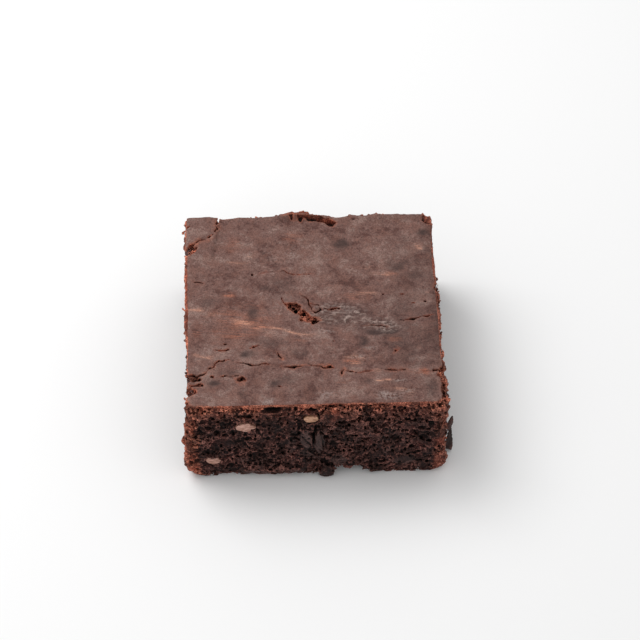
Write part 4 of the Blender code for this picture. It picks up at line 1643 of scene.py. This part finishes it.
@dataclass(frozen=True)
class PaperyCrust:
    """The matt crust: grey brown, mottled and streaked along X, with stains, scrapes and torn rims, a painted
    highlight on its wrinkle crests, and painted shade between them and in its cracks and tears.
    """

    grain: bpy.types.NodeTree
    crumb: bpy.types.NodeTree
    dark: Colour = linear(84, 55, 49)
    middle: Colour = linear(109, 80, 73)
    light: Colour = linear(130, 104, 96)
    warm: Colour = linear(118, 83, 73)
    ruddy: Colour = linear(152, 96, 76)
    stain: Colour = linear(68, 50, 46)
    pale: Colour = linear(138, 120, 114)
    scratch: Colour = linear(188, 136, 114)
    wrinkle: Colour = linear(166, 146, 138)
    rim: Colour = linear(140, 86, 68)
    fleck: Colour = linear(60, 34, 28)
    grain_size: float = 0.36
    broad_size: float = 5.5
    middling_size: float = 1.7
    fine_size: float = 0.62
    warmth_size: float = 3.2
    streak_size: float = 0.9
    streak_turn: float = 0.16
    fleck_size: float = 0.6
    relief: float = 0.07
    gloss: float = 0.2

    def material(self) -> bpy.types.Material:
        """Builds the material, with the torn crumb where the crust is missing."""
        made, graph = new_material("papery crust")
        at = graph.place()
        grain = graph.use(self.grain, {"Size": self.grain_size})
        broad = graph.noise(graph.place((0.9, 1.0, 0.3)), self.broad_size, 3.0, 0.5)
        middling = graph.noise(graph.place((1.0, 1.0, 0.3)), self.middling_size, 2.0, 0.4)
        fine = graph.noise(graph.place((0.9, 1.0, 0.5)), self.fine_size, 3.0, 0.2)
        warmth = graph.noise(graph.place((1.0, 1.0, 0.5)), self.warmth_size, 3.0, 0.3)
        along = graph.place((0.16, 2.6, 0.3), self.streak_turn)
        streaks = graph.noise(along, self.streak_size, 2.0, 0.2)
        tone = graph.plus(graph.times(broad, 0.5), graph.times(middling, 0.24))
        tone = graph.plus(tone, graph.times(fine, 0.26))
        colour = graph.blend(graph.ramp(tone, 0.39, 0.5), self.dark, self.middle)
        colour = graph.blend(graph.ramp(tone, 0.5, 0.61), colour, self.light)
        colour = graph.blend(graph.ramp(warmth, 0.46, 0.66, 0.0, 0.5), colour, self.warm)
        patchy = graph.ramp(fine, 0.38, 0.6)
        colour = graph.blend(graph.times(graph.reading("pale"), patchy), colour, self.pale)
        streaky = graph.times(graph.reading("ruddy"), graph.ramp(streaks, 0.34, 0.62))
        colour = graph.blend(streaky, colour, self.ruddy)
        # Real stains, and painted shade between the wrinkle crests.
        colour = graph.blend(graph.reading("stain"), colour, self.stain)
        # Painted highlight on the wrinkle crests.
        colour = graph.blend(graph.times(graph.reading("wrinkle"), 0.9), colour, self.wrinkle)
        scraped = graph.times(graph.reading("scratch"), graph.ramp(streaks, 0.4, 0.56, 0.15, 1.0))
        colour = graph.blend(scraped, colour, self.scratch)
        flecks = graph.ramp(graph.noise(at, self.fleck_size, 2.0), 0.64, 0.72)
        colour = graph.blend(graph.times(flecks, 0.6), colour, self.fleck)
        grainy = graph.ramp(grain.outputs["Value"], 0.0, 0.8, 0.4, 1.0)
        torn = graph.times(graph.reading("torn"), grainy)
        colour = graph.blend(torn, colour, self.rim)
        colour = graph.shaded(colour, graph.ramp(grain.outputs["Value"], 0.0, 1.0, 0.72, 1.26))
        colour = graph.blend(graph.reading("bare"), colour, graph.use_crumb(self.crumb)[0])
        # Painted shade darkens the cracks and tears.
        colour = graph.shaded(colour, graph.ramp(graph.reading("shade"), 0.0, 1.0, 1.0, 0.3))
        rough = graph.ramp(grain.outputs["Value"], 0.0, 1.0, 0.62, 0.8)
        height = graph.times(graph.plus(grain.outputs["Height"], middling), 0.5)
        finish_with(graph, colour, rough, height, self.relief, self.gloss)
        return made


@dataclass(frozen=True)
class NutFlesh:
    """The pale satin flesh of a chopped nut, with a thin brown skin left at its edges, which also serves as
    painted shade where the piece turns away.
    """

    grain: bpy.types.NodeTree
    name: str
    flesh: Colour
    shadow: Colour
    skin: Colour = linear(130, 82, 60)
    grain_size: float = 0.22
    fibre_size: float = 0.7
    patch_size: float = 1.1
    relief: float = 0.05
    gloss: float = 0.4

    def material(self) -> bpy.types.Material:
        """Builds the material."""
        made, graph = new_material(self.name)
        at = graph.place()
        grain = graph.use(self.grain, {"Size": self.grain_size})
        fibres = graph.noise(graph.place((0.5, 1.0, 2.0)), self.fibre_size, 3.0, 0.5)
        colour = graph.blend(graph.ramp(fibres, 0.36, 0.62), self.shadow, self.flesh)
        patches = graph.ramp(graph.noise(at, self.patch_size, 2.0), 0.58, 0.7, 0.0, 0.5)
        colour = graph.blend(patches, colour, self.skin)
        # Real skin and painted shade at the outline.
        colour = graph.blend(graph.reading("edge"), colour, self.skin)
        height = graph.times(graph.plus(grain.outputs["Height"], fibres), 0.5)
        rough = graph.ramp(fibres, 0.3, 0.7, 0.42, 0.6)
        finish_with(graph, colour, rough, height, self.relief, self.gloss)
        return made


@dataclass
class Nut:
    """A piece of chopped nut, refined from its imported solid: a broken, flattened face that looks out.

    Its lumps and pits are given by how many fit in a millimetre and by how far they reach.
    """

    node: str
    face: Face
    levels: int = 2
    flat_from: float = 0.62
    flatness: float = 0.25
    tail_from: float = 2.0
    tail_taper: float = 0.12
    tail_width: float = 0.5
    cuts: tuple[float, ...] = (0.5, 2.2, 3.9)
    cut_at: float = 0.74
    lumps: tuple[float, float] = (0.6, 0.15)
    pits: tuple[float, float] = (2.3, 0.05)

    def build(self) -> bpy.types.Object:
        """Builds the piece from the node's own mesh.

        Returns:
            The object of the piece.
        """
        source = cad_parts[self.node]
        rough = in_scene("rough", source.data.copy())
        rough.modifiers.new("joined", "WELD").merge_threshold = MM / 1000
        rough.modifiers.new("finer", "SUBSURF").levels = self.levels
        points, triangles = shape_of(rough)
        middle = (points.max(0) + points.min(0)) / 2
        half = (points.max(0) - points.min(0)) / 2
        axis, sign = self.face.axis, self.face.sign
        outward = sign * (points[:, axis] - middle[axis]) / half[axis]
        beyond = np.maximum(outward - self.flat_from, 0) * (1 - self.flatness)
        points[:, axis] -= sign * beyond * half[axis]
        along = (points - middle) @ self.face.right / (np.abs(self.face.right) @ half)
        in_tail = smooth_step(along, self.tail_from, self.tail_from + self.tail_taper)
        points[:, 2] = middle[2] + (points[:, 2] - middle[2]) * (1 - (1 - self.tail_width) * in_tail)
        for turn in self.cuts:
            direction = self.face.right * math.cos(turn) + np.array([0, 0, math.sin(turn)])
            past = np.maximum((points - middle) / half @ direction - self.cut_at, 0)
            points -= np.outer(past, direction) * half
        swell = sum(
            np.array([noise.noise(point * often) for point in points]) * far
            for often, far in (self.lumps, self.pits)
        )
        points += (points - middle) / half * swell[:, None]
        piece = mesh_object(f"{self.node}_flesh", points, triangles)
        # Skin colour at the outline and on the tail, partly real skin and partly painted shade where the
        # piece turns away.
        away = 1 - smooth_step(outward, 0.1, 0.8)
        give_value(piece, "edge", np.maximum(0.7 * away, 0.35 * in_tail))
        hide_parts(self.node)
        return piece


@dataclass
class Flakes:
    """Thin broken flakes of crust that lie loose at the right side.

    Their bends are given by how many fit in a millimetre and by how far they reach.
    """

    outlines: tuple[tuple[Triple, ...], ...] = (
        (
            (37.3, -26.4, 6.8), (36.4, -28.3, 4.9), (36.5, -29.5, 1.4), (37.9, -28.9, 0.4),
            (38.5, -26.9, 0.7), (38.2, -25.9, 2.6), (37.9, -25.7, 6.4),
        ),
        (
            (37.5, -30.6, 17.6), (36.2, -32.0, 15.7), (36.3, -32.8, 13.4), (37.2, -31.2, 13.2),
            (37.9, -30.4, 15.4),
        ),
    )
    thickness: float = 0.5
    edge_rounding: float = 0.12
    levels: int = 3
    bend_seed: int = 6
    bends: tuple[tuple[float, float], ...] = ((1.1, 0.22), (3.5, 0.08))
    clearance: float = 0.02
    rim: float = 0.05
    other_values: float = 0.5

    def build(self) -> bpy.types.Object:
        """Builds both flakes as one object.

        Returns:
            The object.
        """
        mesh = bmesh.new()
        for outline in self.outlines:
            points = np.array(outline)
            across = np.cross(points[2] - points[0], points[-1] - points[0])
            across *= self.thickness / np.linalg.norm(across) / 2
            rings = [[mesh.verts.new((point + side * across) * MM) for point in points] for side in (1, -1)]
            mesh.faces.new(rings[0])
            mesh.faces.new(rings[1][::-1])
            for n in range(len(points)):
                after = (n + 1) % len(points)
                mesh.faces.new((rings[1][n], rings[1][after], rings[0][after], rings[0][n]))
        bmesh.ops.recalc_face_normals(mesh, faces=mesh.faces)
        made = bpy.data.meshes.new("flakes")
        mesh.to_mesh(made)
        mesh.free()
        rough = in_scene("rough", made)
        rough.modifiers.new("rounded", "BEVEL").width = self.edge_rounding * MM
        rough.modifiers.new("finer", "SUBSURF").levels = self.levels
        points, triangles = shape_of(rough)
        noise.seed_set(self.bend_seed)
        for often, far in self.bends:
            points += np.array([noise.noise_vector(point * often) for point in points]) * far
        points[:, 2] = np.maximum(points[:, 2], self.clearance)
        piece = mesh_object("loose_flakes", points, triangles)
        for label in CRUMB_VALUES:
            give_value(piece, label, np.full(len(points), self.rim if label == "rim" else self.other_values))
        return piece


@dataclass(frozen=True)
class Studio:
    """The photographer's table: a pale floor, soft light from above and a long lens."""

    eye: Triple = (-13.28, -517.94, 609.44)
    aim: Triple = (1.953, -4.64, 29.0)
    lens: float = 157.14
    sensor: float = 36.0
    floor_size: float = 4000.0
    floor_height: float = -0.02
    floor_colour: Colour = linear(240, 240, 240)
    sky_strength: float = 0.74
    lamp_place: Triple = (-330.0, 220.0, 560.0)
    lamp_size: float = 460.0
    lamp_power: float = 2.6

    @staticmethod
    def stand(held: bpy.types.Object, place: Triple, aim: Triple) -> None:
        """Places a camera or lamp, turned so that it looks at a point."""
        held.location = Vector(place) * MM
        held.rotation_euler = (Vector(aim) - Vector(place)).to_track_quat("-Z", "Y").to_euler()

    def set_camera(self) -> None:
        """Places the camera as the photographer's stood."""
        lens = bpy.data.cameras.new("camera")
        lens.sensor_width = self.sensor
        lens.lens = self.lens
        camera = in_scene("camera", lens)
        self.stand(camera, self.eye, self.aim)
        bpy.context.scene.camera = camera

    def lay_floor(self) -> None:
        """Lays the pale floor, just clear of the underside."""
        mesh = bmesh.new()
        bmesh.ops.create_grid(mesh, x_segments=1, y_segments=1, size=self.floor_size / 2 * MM)
        made = bpy.data.meshes.new("floor")
        mesh.to_mesh(made)
        mesh.free()
        floor = in_scene("floor", made)
        floor.location.z = self.floor_height * MM
        material, graph = new_material("pale floor")
        inputs = {"Base Color": self.floor_colour, "Roughness": 0.9, "Specular IOR Level": 0.0}
        shader = graph.add("BsdfPrincipled", inputs)
        graph.add("OutputMaterial", {"Surface": shader.outputs[0]})
        made.materials.append(material)

    def light(self) -> None:
        """Lights the scene with an even sky and one broad lamp."""
        world = bpy.data.worlds.new("studio")
        world.use_nodes = True
        sky = world.node_tree.nodes["Background"].inputs
        sky["Color"].default_value = (1, 1, 1, 1)
        sky["Strength"].default_value = self.sky_strength
        bpy.context.scene.world = world
        lamp = bpy.data.lights.new("soft lamp", "AREA")
        lamp.size = self.lamp_size * MM
        lamp.energy = self.lamp_power
        self.stand(in_scene("soft lamp", lamp), self.lamp_place, (0, 0, 0))
        bpy.context.scene.view_settings.view_transform = "Standard"


def keep(piece: bpy.types.Object, slot: str, material: bpy.types.Material) -> None:
    """Gives a piece its finish, lets it ride with the brownie, and reports it.

    Args:
        piece: The piece.
        slot: Not used.
        material: Its material.
    """
    piece.data.materials.append(material)
    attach(piece, "root")
    piece.data.calc_loop_triangles()
    log.info("%s: %d triangles", piece.name, len(piece.data.loop_triangles))


def main() -> None:
    """Builds, dresses and lights every piece."""
    logging.basicConfig(level=logging.INFO, format="%(message)s")
    grain = FoodGrain().group()
    crumb = TornCrumb(grain)
    crumb_look = crumb.group()
    crumb_material = crumb.material(crumb_look)
    crust_material = PaperyCrust(grain, crumb_look).material()
    brownie = Brownie()
    for face in Face:
        piece = brownie.build(face)
        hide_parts("crumb")
        top = face is Face.TOP
        keep(piece, "crust" if top else "crumb", crust_material if top else crumb_material)
    flesh = NutFlesh(grain, "nut flesh", linear(208, 164, 149), linear(150, 106, 90)).material()
    yellower = NutFlesh(grain, "yellower nut flesh", linear(200, 154, 124), linear(146, 102, 76)).material()
    browner = NutFlesh(grain, "browner nut flesh", linear(192, 148, 132), linear(142, 100, 84)).material()
    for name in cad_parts:
        if name.startswith("nut_"):
            nut = Nut(name, Face[name.split("_")[1].upper()])
            if nut.face is Face.FRONT:
                nut.cuts = ()
            if name == "nut_front_1":
                nut.tail_from = 0.4
            keep(nut.build(), "nut", {"nut_front_2": yellower, "nut_front_3": browner}.get(name, flesh))
    keep(Flakes().build(), "crumb", crumb_material)
    studio = Studio()
    studio.set_camera()
    studio.lay_floor()
    studio.light()


if __name__ == "__main__":
    main()
